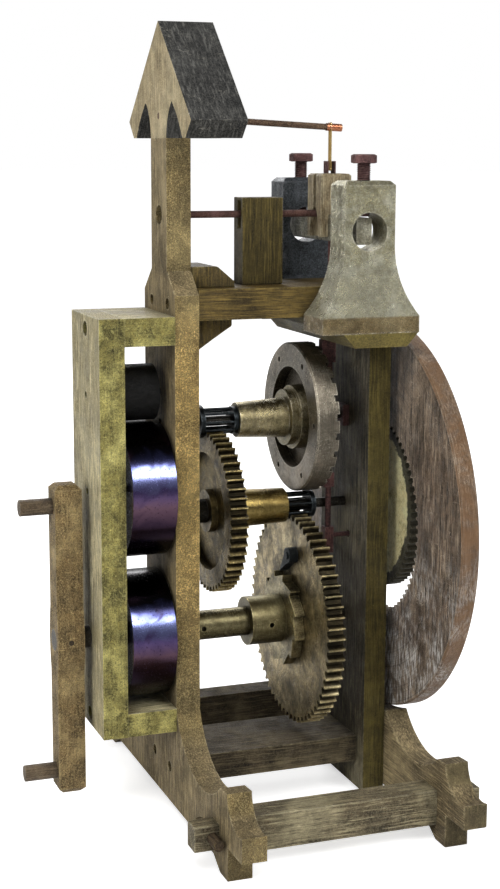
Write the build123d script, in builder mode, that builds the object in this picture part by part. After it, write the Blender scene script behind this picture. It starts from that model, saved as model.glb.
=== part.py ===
"""Spring-driven geared movement in a post-and-foot frame, with a large toothed ring.

Units are millimetres and +Z is up.  The arbors run along X, from the crank on the left to the
toothed ring on the right.  Y is the depth of the frame, which is symmetric about Y = 0.  The
origin is the middle of the space the whole object fills, at the level of the soles.
"""
import os
from math import atan2, cos, degrees, pi, radians, sin, sqrt

from build123d import *

os.makedirs("parts", exist_ok=True)

# ---------------------------------------------------------------- fits
RUN = 0.05          # radial clearance of a shaft that turns in its hole
GAP = 0.4           # space between neighbouring pieces that move past each other
SLIDE = 0.3         # space round a piece that slides or rocks in a slot

# ---------------------------------------------------------------- frame
POST_THICK = 18.0        # left post, along X
POST_HALF = 37.0         # left post, half its depth along Y
NECK_HALF = 18.5         # upper, narrower length of the left post
SHOULDER_RISE = 16.0     # height of the sloping shoulder
FRAME_GAP = 129.0        # clear space between the left and right posts
RIGHT_POST_THICK = 17.0
RIGHT_POST_HALF = 44.0
RIGHT_POST_FOOT_Z = 4.0
RIGHT_FOOT_THICK = 18.0

# foot outline, half of it, measured out from the middle of the frame
SOLE_OUT, SOLE_IN = 150.0, 134.0
HEEL_OUT = 120.0
INSTEP_Z = 8.0
TOE_OUT, TOE_LOW_Z, TOE_TOP_Z = 178.0, 24.0, 42.0
KNOB_OUT, KNOB_IN, KNOB_Z = 148.0, 134.0, 62.0
KNOB_HOLLOW = 7.0        # how far out the hollow between toe and knob passes
KNOB_HOLLOW_RISE = 5.0
KNOB_FALL = 1.0          # fall of the knob's top, inwards
ARCH_LOW_Y, ARCH_LOW_Z = 97.0, 46.0
ARCH_TOP_Z = 84.0

# ---------------------------------------------------------------- beams
BEAM_HIGH, BEAM_DEEP = 26.0, 22.0     # front and rear base beams
BEAM_LOW_Z = 12.0
BEAM_MID_Y = 125.0
TENON_HIGH, TENON_DEEP = 18.0, 15.0
TENON_OUT = 18.0                      # how far each tenon stands out past the foot
LOCK_PIN_R, LOCK_PIN_LONG = 4.0, 44.0
LOCK_PIN_CLEAR = 1.0                  # from a foot's face to a locking pin
MIDDLE_HALF = 31.0                    # middle base beam
MIDDLE_LOW_Z, MIDDLE_HIGH = 25.0, 20.0
TOP_BEAM_HIGH = 22.0
TOP_BEAM_HALF = 36.5
DOWEL_R, DOWEL_SPACING = 4.0, 38.0
DOWEL_SUNK, DOWEL_LONG = 5.0, 38.0
BRACE_HALF = 22.0
UPPER_BRACE_LONG, UPPER_BRACE_HIGH = 32.0, 15.0
UPPER_BRACE_LIP, UPPER_BRACE_SLOPE = 4.0, 13.0     # height of its end, length of its slope
LOWER_BRACE_LONG, LOWER_BRACE_HIGH = 30.0, 26.0
LOWER_BRACE_LIP = 6.0
LOWER_BRACE_MID_X, LOWER_BRACE_MID_Z = 13.0, 17.0  # middle of its hollow, in and down

# ---------------------------------------------------------------- wheels and centre distances
LOW_TO_MID, MID_TO_TOP = 88.0, 67.5
RING_DROP = 11.0                      # ring's middle under the middle arbor
GREAT_TEETH, SECOND_LEAVES = 64, 7
SECOND_TEETH, ESCAPE_LEAVES = 54, 8
RING_TEETH, INNER_TEETH = 77, 66
RATCHET_TEETH = 12
TIP_SHARE = 0.8                       # tooth height outside the pitch circle, over the module
TRUNDLE_R = 1.15
FLANGE_RIM = 0.5                      # flange metal outside the trundles
FLANGE_THICK = 3.5


def module_for(distance, teeth_a, teeth_b):
    """Size of tooth that puts two wheels in mesh at a centre distance."""
    return 2 * distance / (teeth_a + teeth_b)


GREAT_MODULE = module_for(LOW_TO_MID, GREAT_TEETH, SECOND_LEAVES)
SECOND_MODULE = module_for(MID_TO_TOP, SECOND_TEETH, ESCAPE_LEAVES)
RING_MODULE = module_for(RING_DROP, RING_TEETH, -INNER_TEETH)
GREAT_PITCH_R = GREAT_MODULE * GREAT_TEETH / 2
SECOND_PINION_R = GREAT_MODULE * SECOND_LEAVES / 2
SECOND_PITCH_R = SECOND_MODULE * SECOND_TEETH / 2
ESCAPE_PINION_R = SECOND_MODULE * ESCAPE_LEAVES / 2
RING_PITCH_R = RING_MODULE * RING_TEETH / 2
INNER_PITCH_R = RING_MODULE * INNER_TEETH / 2
GREAT_TIP_R = GREAT_PITCH_R + TIP_SHARE * GREAT_MODULE
SECOND_TIP_R = SECOND_PITCH_R + TIP_SHARE * SECOND_MODULE
FLANGE_MID_R = SECOND_PINION_R + TRUNDLE_R + FLANGE_RIM
FLANGE_TOP_R = ESCAPE_PINION_R + TRUNDLE_R + FLANGE_RIM
ESCAPE_CLEAR = 1.2                    # from the escape wheel to the middle arbor's flange
ESCAPE_WHEEL_R = round(MID_TO_TOP - FLANGE_MID_R - ESCAPE_CLEAR, 1)          # to a tenth

# ---------------------------------------------------------------- heights, from the base up
GREAT_CLEAR = 9.7                     # from the middle base beam to the great wheel
CROSSHEAD_CLEAR = 3.5                 # from the escape wheel to the crosshead
CROSSHEAD_HIGH = 10.0                 # up to the capitals
BEAM_SEAT_HIGH = 9.0                  # from there to the top beam
LOW_Z = round(MIDDLE_LOW_Z + MIDDLE_HIGH + GREAT_CLEAR + GREAT_TIP_R, 1)     # to a tenth
MID_Z = LOW_Z + LOW_TO_MID
TOP_Z = MID_Z + MID_TO_TOP
RING_Z = MID_Z - RING_DROP
RIGHT_POST_TOP_Z = TOP_Z + ESCAPE_WHEEL_R + CROSSHEAD_CLEAR
CAPITAL_LOW_Z = RIGHT_POST_TOP_Z + CROSSHEAD_HIGH
TOP_BEAM_LOW_Z = CAPITAL_LOW_Z + BEAM_SEAT_HIGH
TOP_BEAM_TOP_Z = TOP_BEAM_LOW_Z + TOP_BEAM_HIGH
SHOULDER_Z = TOP_BEAM_TOP_Z - 4.0     # where the left post narrows
PIVOT_Z = CAPITAL_LOW_Z + 71.5        # the rocker's bar
ROD_Z = PIVOT_Z + 10.5                # the rocker's rod
HEAD_LOW_Z, HEAD_TOP_Z = PIVOT_Z - 6.5, PIVOT_Z + 39.5
NECK_TOP_Z = HEAD_TOP_Z + 25.0        # underside of the roof head

# ---------------------------------------------------------------- roof head
ROOF_LENGTH = 41.0
ROOF_HIGH, ROOF_EAVE_HIGH = 81.0, 12.0
ROOF_RIDGE_Z = NECK_TOP_Z + ROOF_HIGH
ROOF_EAVE_Z = NECK_TOP_Z + ROOF_EAVE_HIGH
ROOF_EAVE_HALF = 74.0
ROOF_TIP_HALF = 62.0
ROOF_ARCH_HIGH = 25.0
ROOF_ARCH_PEAK_Y = 31.0
ROOF_ARCH_OUT_Y = 55.0
ROOF_ARCH_IN_LEAN, ROOF_ARCH_IN_HIGH = 4.5, 16.0     # where the inner curve passes
ROOF_ARCH_MID_Y, ROOF_ARCH_MID_HIGH = 45.0, 13.0     # where the outer curve passes

# ---------------------------------------------------------------- shafts
WINDING_R = 8.0
SECOND_R = 3.7
SECOND_BOSS_R = 9.0
ESCAPE_R = 3.7
PIVOT_R = 5.0
PIVOT_LONG = 14.0
BOSS_BACK = 3.0                            # arbor ends inside the left post
ARBOR_SUNK = 2.0                           # top arbor's end inside the right post

# ---------------------------------------------------------------- places along X
PLATE_GAP, PLATE_THICK = 37.0, 18.5       # drive plate
CRANK_CLEAR, CRANK_THICK = 6.5, 20.0      # from the drive plate to the crank, and its bar
CRANK_OUT = PLATE_GAP + PLATE_THICK + CRANK_CLEAR
PEG_OUT = 24.0                            # length of a peg outside the crank bar
RING_CLEAR, RING_THICK = 8.0, 14.0        # from the right post to the ring, and the ring

span_left = CRANK_OUT + CRANK_THICK + PEG_OUT
span_right = POST_THICK + FRAME_GAP + RIGHT_POST_THICK + RIGHT_FOOT_THICK + TENON_OUT
LEFT_X = (span_left - span_right) / 2     # outer face of the left post
INNER_X = LEFT_X + POST_THICK
RIGHT_X = INNER_X + FRAME_GAP             # inner face of the right post
RIGHT_OUT_X = RIGHT_X + RIGHT_POST_THICK
FOOT_OUT_X = RIGHT_OUT_X + RIGHT_FOOT_THICK
RING_X = RIGHT_OUT_X + RING_CLEAR
TOP_BEAM_END_X = RIGHT_OUT_X
LOCK_PIN_PLACES = (
    LEFT_X - LOCK_PIN_R - LOCK_PIN_CLEAR,
    FOOT_OUT_X + LOCK_PIN_R + LOCK_PIN_CLEAR,
)

# ---------------------------------------------------------------- drive unit
PLATE_HALF = 38.0
PLATE_X = LEFT_X - PLATE_GAP - PLATE_THICK
TOP_SPACER_HIGH, LOW_SPACER_HIGH = 20.0, 17.5
DRIVE_BOLT_R, DRIVE_BOLT_SUNK = 5.5, 6.0
OUTPUT_R, SPOOL_R = 47.0, 20.5                    # lower coil, black roller
SPOOL_AXLE_R, STORE_AXLE_R = 2.5, 3.0
AXLE_SUNK = 1.0
COIL_APART, SPOOL_APART = 12.5, 1.0
STORE_CLEAR = 9.0                                 # from the upper coil's axle to the arbor's boss
STORE_Z = MID_Z + SECOND_BOSS_R + STORE_CLEAR + STORE_AXLE_R
STORE_R = STORE_Z - LOW_Z - OUTPUT_R - COIL_APART     # upper coil
SPOOL_Z = STORE_Z + STORE_R + SPOOL_APART + SPOOL_R
COIL_CLEAR, ROLLER_CLEAR = 3.0, 17.0              # from a coil or roller to the spacers
PLATE_LOW_Z = LOW_Z - OUTPUT_R - COIL_CLEAR - LOW_SPACER_HIGH
PLATE_TOP_Z = SPOOL_Z + SPOOL_R + ROLLER_CLEAR + TOP_SPACER_HIGH
TOP_BOLT_Z = PLATE_TOP_Z - TOP_SPACER_HIGH / 2
LOW_BOLT_Z = PLATE_LOW_Z + LOW_SPACER_HIGH / 2
COIL_SIDE, SPOOL_SIDE = 2.0, 6.0                  # left of a coil, and right of the roller
COIL_WIDE = PLATE_GAP - 2 * COIL_SIDE
SPOOL_WIDE = PLATE_GAP - COIL_SIDE - SPOOL_SIDE
CORE_R = 18.0

# ---------------------------------------------------------------- crank
CRANK_REACH, CRANK_HALF_LONG = 100.0, 116.0
CRANK_HALF_WIDE, CRANK_BOSS_HALF = WINDING_R + 2.0, WINDING_R + 5.0
CRANK_SWELL = 24.0
CRANK_CHAMFER = 3.5
PEG_R = 6.0
CRANK_PIN_R = 2.0

# ---------------------------------------------------------------- great arbor
TUBE_R, COLLAR_R = WINDING_R + 3.0, WINDING_R + 10.5
COLLAR_LONG = 27.0
TUBE_HOLE_X, COLLAR_HOLE_X = 12.0, 15.0    # cross holes, from the post and from the collar
PIN_HOLE_R = 2.0
GREAT_X = INNER_X + 84.0
GREAT_THICK = 13.0
RATCHET_R, RATCHET_THICK, RATCHET_DEEP = 36.0, 8.0, 4.5
CLICK_PIN_R = 3.0
CLICK_PIN_PROUD = 1.0
CLICK_THICK, CLICK_BOSS_R = 7.0, 6.0
CLICK_Y, CLICK_Z = -14.0, LOW_Z + RATCHET_R + 16.0
CLICK_TIP = (-2.0, LOW_Z + RATCHET_R + 1.5)        # nose when seated, upper corner
CLICK_NOSE = (-0.5, LOW_Z + RATCHET_R - 1.0)       # and lower corner
CLICK_LIFT = 6.0                           # degrees that it is held up from its seat
SHOULDER_LONG = 4.0                        # thick shaft beyond the great wheel
PIVOT_X = GREAT_X + GREAT_THICK + SHOULDER_LONG

# ---------------------------------------------------------------- second arbor
SECOND_X = INNER_X + 16.5
SECOND_THICK = 13.0
SECOND_DISH_R, SECOND_DISH_DEEP = 44.0, 5.0
SECOND_DISH_BOSS_R = SECOND_BOSS_R + 7.0
HUB_MID_R, HUB_MID_END_R = 14.5, 13.0
HUB_MID_END_X = GREAT_X - 5.0
PINION_MID_LONG = 19.5
INNER_GEAR_THICK = 12.0
INNER_GEAR_X = RING_X + 1.0
INNER_TALL, INNER_DEEP = 1.3, 1.9          # its tooth, outside and inside the pitch circle

# ---------------------------------------------------------------- ring
RING_R, RING_FOOT_GAP, RING_CHAMFER = 148.8, 3.0, 1.2
RING_TALL, RING_DEEP = 1.3, 1.9            # its tooth, inside and outside the pitch circle

# ---------------------------------------------------------------- escape arbor
ESCAPE_X = GREAT_X
ESCAPE_THICK = 17.0
ESCAPE_TEETH, CROWN_DEEP = 25, 3.0
CROWN_NOTCH_DEEP, CROWN_NOTCH_WIDE = 10.0, 5.0
ESCAPE_CHAMFER = 1.2
RECESS_R, RECESS_DEEP = ESCAPE_WHEEL_R - 18.0, 9.0
RIM_HOLES, RIM_HOLE_R, RIM_HOLE_DEEP = 6, 2.2, 6.0
RIM_HOLE_PCR = (RECESS_R + ESCAPE_WHEEL_R) / 2
PINION_TOP_X, PINION_TOP_LONG = INNER_X + 10.0, 23.0
TOP_FLANGE_THICK, TOP_FLANGE_R = 3.5, 12.5
HUB_TOP_R, HUB_TOP_END_R = 13.0, 15.0
COLLAR_A_R, COLLAR_B_R = 21.0, 24.0
COLLAR_A_THICK = 6.0
BEARING_THICK, BEARING_WIDE = 5.0, 16.0

# ---------------------------------------------------------------- crosshead and capitals
CAPITAL_X = RIGHT_X - 14.0
CROSSHEAD_X = CAPITAL_X + 8.0
CROSSHEAD_HALF, CROSSHEAD_CHAMFER = 29.0, 9.0
CAPITAL_Y = 59.5
CAPITAL_BASE_HIGH = 12.0
CAPITAL_WAIST_Z = CAPITAL_LOW_Z + 64.0
CAPITAL_TOP_Z = CAPITAL_LOW_Z + 107.0
CAPITAL_TOP_HALF, CAPITAL_BASE_HALF = 19.5, 37.5
CAPITAL_TOP_DEEP, CAPITAL_BASE_DEEP = 12.5, 17.5
CAPITAL_CHAMFER = 3.0
CAPITAL_FLARE = 0.22                       # share of the flare reached at its middle height
CROSSHEAD_END_Y = CAPITAL_Y + CAPITAL_BASE_DEEP
BAR_WIDE, BAR_HIGH = 12.0, 19.0
BAR_CHAMFER = 1.2
BAR_END_Y = CAPITAL_Y + 4.5
EYE_R = sqrt(BAR_WIDE**2 + BAR_HIGH**2) / 2 + 2.2
SCREW_R, SCREW_HEAD_AF, SCREW_HEAD_HIGH = 5.0, 16.0, 6.4      # M10
SCREW_CHAMFER = 0.8
SCREW_SHOWN = 12.0                                            # thread above the capital
SCREW_REST = 0.9                                              # tip above the bar

# ---------------------------------------------------------------- rocker
ROCKER_X = CAPITAL_X - 1.0
HEAD_WIDE, HEAD_DEEP, HEAD_CHAMFER = 24.0, 26.0, 1.5
HEAD_ARCH_HALF, HEAD_ARCH_TOP_Z = 8.5, HEAD_LOW_Z + 24.0
HEAD_ARCH_LEAN, HEAD_ARCH_MID = 1.5, 12.0          # where the arch's sides pass
HEAD_GROOVE, HEAD_RECESS = 5.0, 4.0
GROOVE_LAP = 2.0                                   # groove below the arch's top
ROD_R, ROD_HOLE_R, ROD_BACK = 2.6, 7.0, 3.0
GUIDE_X, GUIDE_LONG = LEFT_X + 61.0, 31.0
GUIDE_DEEP, GUIDE_Y, GUIDE_TOP_Z = 20.0, 2.0, ROD_Z + 12.0
GUIDE_SLOT_HIGH = 20.0
STAFF_R, STAFF_Y = 2.2, -9.0
STAFF_X = ROCKER_X - 2.0
STAFF_SLOT_WIDE, STAFF_SLOT_LONG = 7.0, 12.0
GUIDE_PIN_R, GUIDE_PIN_Z, GUIDE_PIN_PLAY, GUIDE_PIN_BITE = 1.8, MID_Z - 24.0, 1.2, 8.0
PALLET_THICK, PALLET_FRONT = 7.0, 3.5      # along Y, and in front of the staff's middle
UPPER_PALLET_HIGH, LOWER_PALLET_HIGH, END_BLOCK_HIGH = 17.0, 11.0, 20.0
UPPER_PALLET_Z = TOP_Z + ESCAPE_WHEEL_R - 14.5
LOWER_PALLET_Z = TOP_Z - ESCAPE_WHEEL_R + 2.5
UPPER_PALLET_X = ESCAPE_X + ESCAPE_THICK + 3.5
LOWER_PALLET_X = ESCAPE_X + ESCAPE_THICK + 5.5
STAFF_LOW_Z = GUIDE_PIN_Z - 13.0
BRACKET_ROD_R, BRACKET_ROD_LONG = 2.3, ROCKER_X - LEFT_X - 3.0
BRACKET_BORE_SPARE = 10.0                  # bore run on past the head's two faces
BRACKET_LEFT_Z, BRACKET_FALL = NECK_TOP_Z + 15.5, 7.0
SLEEVE_LONG, SLEEVE_WALL = 12.0, 0.5
STRIP_X = ROCKER_X
STRIP_WIDE, STRIP_THICK = 5.0, 0.8
STRIP_TOP_Z, STRIP_TOP_BITE = BRACKET_LEFT_Z - BRACKET_FALL - 0.5, 4.0
STRIP_LOW_Z, STRIP_PLAY = HEAD_TOP_Z + 2.0, 1.8
CLEVIS_WIDE, CLEVIS_DEEP, CLEVIS_HIGH = 7.0, 7.0, 9.0

# ---------------------------------------------------------------- tooth shapes
GREAT_TOOTH = dict(root_share=0.62, tip_share=0.14, lean=0.08)
SECOND_TOOTH = dict(root_share=0.62, tip_share=0.16, lean=0.08)
RATCHET_TOOTH = dict(root_share=0.98, tip_share=0.06, lean=0.44)
INNER_TOOTH = dict(root_share=0.52, tip_share=0.20)
RING_TOOTH = dict(root_share=0.80, tip_share=0.48)


def tooth_ring(teeth, root_r, tip_r, root_share, tip_share, lean=0.0, turn=0.0):
    """Corners of a toothed outline, one tooth at a time.

    root_share and tip_share are the tooth's width over the pitch, lean moves the tip sideways
    by a share of the pitch, and turn is where the first tooth's middle points, in degrees.
    Angles are measured from the sketch's Y axis, so from +Z on a YZ plane, towards -X.
    """
    pitch = 2 * pi / teeth
    corners = []
    for index in range(teeth):
        middle = radians(turn) + index * pitch
        for radius, offset in (
            (root_r, -root_share / 2),
            (tip_r, lean - tip_share / 2),
            (tip_r, lean + tip_share / 2),
            (root_r, root_share / 2),
        ):
            angle = middle + offset * pitch
            corners.append((-radius * sin(angle), radius * cos(angle)))
    return corners


def place(corners, z):
    """Corners moved up to an arbor's height."""
    return [(across, up + z) for across, up in corners]


def swung(corner, pivot, angle):
    """A corner turned about a pivot by an angle in degrees."""
    across, up = corner[0] - pivot[0], corner[1] - pivot[1]
    turn = radians(angle)
    return (
        pivot[0] + across * cos(turn) - up * sin(turn),
        pivot[1] + across * sin(turn) + up * cos(turn),
    )


def trundles(count, pitch_r, z):
    """Middles of a lantern pinion's bars, one of them straight below the arbor."""
    step = 2 * pi / count
    return [(pitch_r * sin(i * step), z - pitch_r * cos(i * step)) for i in range(count)]


def half_foot(side):
    """Outline of one half of a foot as (y, z) corners, from the instep round to the knob."""
    return [
        (side * HEEL_OUT, INSTEP_Z),
        (side * SOLE_IN, 0),
        (side * SOLE_OUT, 0),
        (side * SOLE_OUT, TOE_LOW_Z),
        (side * TOE_OUT, TOE_LOW_Z),
        (side * TOE_OUT, TOE_TOP_Z),
    ]


def foot_face(post_half, top_z):
    """Closed outline of a foot, with its arches running up to the post's edges at top_z."""
    with BuildSketch(mode=Mode.PRIVATE) as face:
        with BuildLine():
            for side in (-1, 1):
                corners = half_foot(side)
                toe = corners[-1]
                knob = (side * KNOB_OUT, KNOB_Z)
                Polyline((0, INSTEP_Z), *corners)
                ThreePointArc(toe, (side * (KNOB_OUT + KNOB_HOLLOW), TOE_TOP_Z + KNOB_HOLLOW_RISE), knob)
                Line(knob, (side * KNOB_IN, KNOB_Z - KNOB_FALL))
                ThreePointArc(
                    (side * KNOB_IN, KNOB_Z - KNOB_FALL),
                    (side * ARCH_LOW_Y, ARCH_LOW_Z),
                    (side * post_half, top_z),
                )
            Line((-post_half, top_z), (post_half, top_z))
        make_face()
    return face.sketch


def finish(piece, name):
    """Label a finished piece and write it."""
    piece.part.label = name
    export_step(piece.part, f"parts/{name}.step")


# ================================================================ frame
with BuildPart() as left_frame:
    with BuildSketch(Plane.YZ.offset(LEFT_X)):
        add(foot_face(POST_HALF, ARCH_TOP_Z))
        with BuildLine():
            Polyline(
                (-POST_HALF, ARCH_TOP_Z - 1),
                (-POST_HALF, SHOULDER_Z),
                (-NECK_HALF, SHOULDER_Z + SHOULDER_RISE),
                (-NECK_HALF, NECK_TOP_Z),
                (NECK_HALF, NECK_TOP_Z),
                (NECK_HALF, SHOULDER_Z + SHOULDER_RISE),
                (POST_HALF, SHOULDER_Z),
                (POST_HALF, ARCH_TOP_Z - 1),
                close=True,
            )
        make_face()
        with Locations((0, LOW_Z)):
            Circle(WINDING_R + RUN, mode=Mode.SUBTRACT)
        with Locations((0, MID_Z)):
            Circle(SECOND_BOSS_R + RUN, mode=Mode.SUBTRACT)
        with Locations((0, TOP_Z)):
            Circle(ESCAPE_R + RUN, mode=Mode.SUBTRACT)
        with Locations((0, ROD_Z)):
            Circle(ROD_HOLE_R, mode=Mode.SUBTRACT)
        with Locations((0, STORE_Z)):
            Circle(STORE_AXLE_R, mode=Mode.SUBTRACT)
        with Locations((0, SPOOL_Z)):
            Circle(SPOOL_AXLE_R, mode=Mode.SUBTRACT)
        middle_dowel_z = MIDDLE_LOW_Z + MIDDLE_HIGH / 2
        top_dowel_z = TOP_BEAM_LOW_Z + TOP_BEAM_HIGH / 2
        with Locations((0, middle_dowel_z), (0, top_dowel_z)):
            with GridLocations(DOWEL_SPACING, 1, 2, 1):
                Circle(DOWEL_R, mode=Mode.SUBTRACT)
        with Locations((0, TOP_BOLT_Z), (0, LOW_BOLT_Z)):
            Circle(DRIVE_BOLT_R, mode=Mode.SUBTRACT)
        with Locations((-BEAM_MID_Y, BEAM_LOW_Z + BEAM_HIGH / 2),
                       (BEAM_MID_Y, BEAM_LOW_Z + BEAM_HIGH / 2)):
            Rectangle(TENON_DEEP, TENON_HIGH, mode=Mode.SUBTRACT)
    extrude(amount=POST_THICK)
finish(left_frame, "left_frame")

with BuildPart() as roof_head:
    with BuildSketch(Plane.YZ.offset(LEFT_X)):
        with BuildLine():
            Polyline(
                (0, ROOF_RIDGE_Z),
                (ROOF_EAVE_HALF, ROOF_EAVE_Z),
                (ROOF_TIP_HALF, NECK_TOP_Z),
                (-ROOF_TIP_HALF, NECK_TOP_Z),
                (-ROOF_EAVE_HALF, ROOF_EAVE_Z),
                close=True,
            )
        make_face()
        for side in (-1, 1):
            with BuildLine():
                inner = (side * NECK_HALF, NECK_TOP_Z)
                peak = (side * ROOF_ARCH_PEAK_Y, NECK_TOP_Z + ROOF_ARCH_HIGH)
                outer = (side * ROOF_ARCH_OUT_Y, NECK_TOP_Z)
                lean = side * (NECK_HALF + ROOF_ARCH_IN_LEAN)
                ThreePointArc(inner, (lean, NECK_TOP_Z + ROOF_ARCH_IN_HIGH), peak)
                belly = (side * ROOF_ARCH_MID_Y, NECK_TOP_Z + ROOF_ARCH_MID_HIGH)
                ThreePointArc(peak, belly, outer)
                Line(outer, inner)
            make_face(mode=Mode.SUBTRACT)
    extrude(amount=ROOF_LENGTH)
    rod_fall = degrees(atan2(BRACKET_FALL, CAPITAL_X - LEFT_X))
    rod_line = Plane(
        origin=(LEFT_X, 0, BRACKET_LEFT_Z),
        x_dir=(0, 1, 0),
        z_dir=(cos(radians(rod_fall)), 0, -sin(radians(rod_fall))),
    )
    with BuildSketch(rod_line.offset(-BRACKET_BORE_SPARE)):
        Circle(BRACKET_ROD_R)
    extrude(amount=ROOF_LENGTH + 2 * BRACKET_BORE_SPARE, mode=Mode.SUBTRACT)
finish(roof_head, "roof_head")

with BuildPart() as right_post:
    with BuildSketch(Plane.YZ.offset(RIGHT_X)):
        post_high = RIGHT_POST_TOP_Z - RIGHT_POST_FOOT_Z
        with Locations((0, RIGHT_POST_FOOT_Z + post_high / 2)):
            Rectangle(2 * RIGHT_POST_HALF, post_high)
        with Locations((0, LOW_Z)):
            Circle(PIVOT_R + RUN, mode=Mode.SUBTRACT)
        with Locations((0, MID_Z)):
            Circle(SECOND_R + RUN, mode=Mode.SUBTRACT)
        with Locations((0, TOP_Z)):
            Circle(ESCAPE_R + RUN, mode=Mode.SUBTRACT)
        with Locations((STAFF_Y, GUIDE_PIN_Z)):
            Circle(GUIDE_PIN_R + GUIDE_PIN_PLAY, mode=Mode.SUBTRACT)
    extrude(amount=RIGHT_POST_THICK)
finish(right_post, "right_post")

with BuildPart() as right_foot:
    with BuildSketch(Plane.YZ.offset(RIGHT_OUT_X)):
        add(foot_face(POST_HALF, ARCH_TOP_Z))
        with Locations((0, RING_Z)):
            Circle(RING_R + RING_FOOT_GAP, mode=Mode.SUBTRACT)
        with Locations((-BEAM_MID_Y, BEAM_LOW_Z + BEAM_HIGH / 2),
                       (BEAM_MID_Y, BEAM_LOW_Z + BEAM_HIGH / 2)):
            Rectangle(TENON_DEEP, TENON_HIGH, mode=Mode.SUBTRACT)
    extrude(amount=RIGHT_FOOT_THICK)
finish(right_foot, "right_foot")

for name, side in (("front_beam", -1), ("rear_beam", 1)):
    with BuildPart() as base_beam:
        beam_mid_z = BEAM_LOW_Z + BEAM_HIGH / 2
        with BuildSketch(Plane.YZ.offset(INNER_X)):
            with Locations((side * BEAM_MID_Y, beam_mid_z)):
                Rectangle(BEAM_DEEP, BEAM_HIGH)
        extrude(amount=RIGHT_OUT_X - INNER_X)
        with BuildSketch(Plane.YZ.offset(LEFT_X - TENON_OUT)):
            with Locations((side * BEAM_MID_Y, beam_mid_z)):
                Rectangle(TENON_DEEP, TENON_HIGH)
        extrude(amount=FOOT_OUT_X - LEFT_X + 2 * TENON_OUT)
        for pin_x in LOCK_PIN_PLACES:
            with BuildSketch(Plane.XZ.offset(-side * BEAM_MID_Y - BEAM_DEEP)):
                with Locations((pin_x, beam_mid_z)):
                    Circle(LOCK_PIN_R)
            extrude(amount=2 * BEAM_DEEP, mode=Mode.SUBTRACT)
    finish(base_beam, name)

with BuildPart() as locking_pins:
    for side in (-1, 1):
        for pin_x in LOCK_PIN_PLACES:
            with BuildSketch(Plane.XZ.offset(-side * BEAM_MID_Y - LOCK_PIN_LONG / 2)):
                with Locations((pin_x, BEAM_LOW_Z + BEAM_HIGH / 2)):
                    Circle(LOCK_PIN_R)
            extrude(amount=LOCK_PIN_LONG)
finish(locking_pins, "locking_pins")


def plank(name, x_start, x_end, half, low_z, high, dowel_z):
    """A horizontal plank along X, bored at its left end for a pair of dowels."""
    with BuildPart() as piece:
        with BuildSketch(Plane.YZ.offset(x_start)):
            with Locations((0, low_z + high / 2)):
                Rectangle(2 * half, high)
        extrude(amount=x_end - x_start)
        with BuildSketch(Plane.YZ.offset(x_start)):
            with Locations((0, dowel_z)):
                with GridLocations(DOWEL_SPACING, 1, 2, 1):
                    Circle(DOWEL_R)
        extrude(amount=DOWEL_LONG - POST_THICK + DOWEL_SUNK, mode=Mode.SUBTRACT)
        if name == "top_beam":
            with BuildSketch(Plane.XY.offset(low_z)):
                with Locations((STAFF_X, STAFF_Y)):
                    Rectangle(STAFF_SLOT_LONG, STAFF_SLOT_WIDE)
            extrude(amount=high, mode=Mode.SUBTRACT)
    finish(piece, name)


plank("middle_beam", INNER_X, RIGHT_X, MIDDLE_HALF, MIDDLE_LOW_Z, MIDDLE_HIGH, middle_dowel_z)
plank("top_beam", INNER_X, TOP_BEAM_END_X, TOP_BEAM_HALF, TOP_BEAM_LOW_Z, TOP_BEAM_HIGH, top_dowel_z)

with BuildPart() as dowels:
    for dowel_z in (top_dowel_z, middle_dowel_z):
        with BuildSketch(Plane.YZ.offset(LEFT_X + DOWEL_SUNK)):
            with Locations((0, dowel_z)):
                with GridLocations(DOWEL_SPACING, 1, 2, 1):
                    Circle(DOWEL_R)
        extrude(amount=DOWEL_LONG)
finish(dowels, "dowels")

with BuildPart() as upper_brace:
    with BuildSketch(Plane.XZ.offset(-BRACE_HALF)):
        with BuildLine():
            end = INNER_X + UPPER_BRACE_LONG
            Polyline(
                (INNER_X, TOP_BEAM_TOP_Z),
                (end, TOP_BEAM_TOP_Z),
                (end, TOP_BEAM_TOP_Z + UPPER_BRACE_LIP),
                (end - UPPER_BRACE_SLOPE, TOP_BEAM_TOP_Z + UPPER_BRACE_HIGH),
                (INNER_X, TOP_BEAM_TOP_Z + UPPER_BRACE_HIGH),
                close=True,
            )
        make_face()
    extrude(amount=2 * BRACE_HALF)
finish(upper_brace, "upper_brace")

with BuildPart() as lower_brace:
    with BuildSketch(Plane.XZ.offset(-BRACE_HALF)):
        with BuildLine():
            corner = (INNER_X + LOWER_BRACE_LONG, TOP_BEAM_LOW_Z - LOWER_BRACE_LIP)
            low = (INNER_X, TOP_BEAM_LOW_Z - LOWER_BRACE_HIGH)
            Polyline(low, (INNER_X, TOP_BEAM_LOW_Z), (corner[0], TOP_BEAM_LOW_Z), corner)
            hollow = (INNER_X + LOWER_BRACE_MID_X, TOP_BEAM_LOW_Z - LOWER_BRACE_MID_Z)
            ThreePointArc(corner, hollow, low)
        make_face()
    extrude(amount=2 * BRACE_HALF)
finish(lower_brace, "lower_brace")

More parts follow.
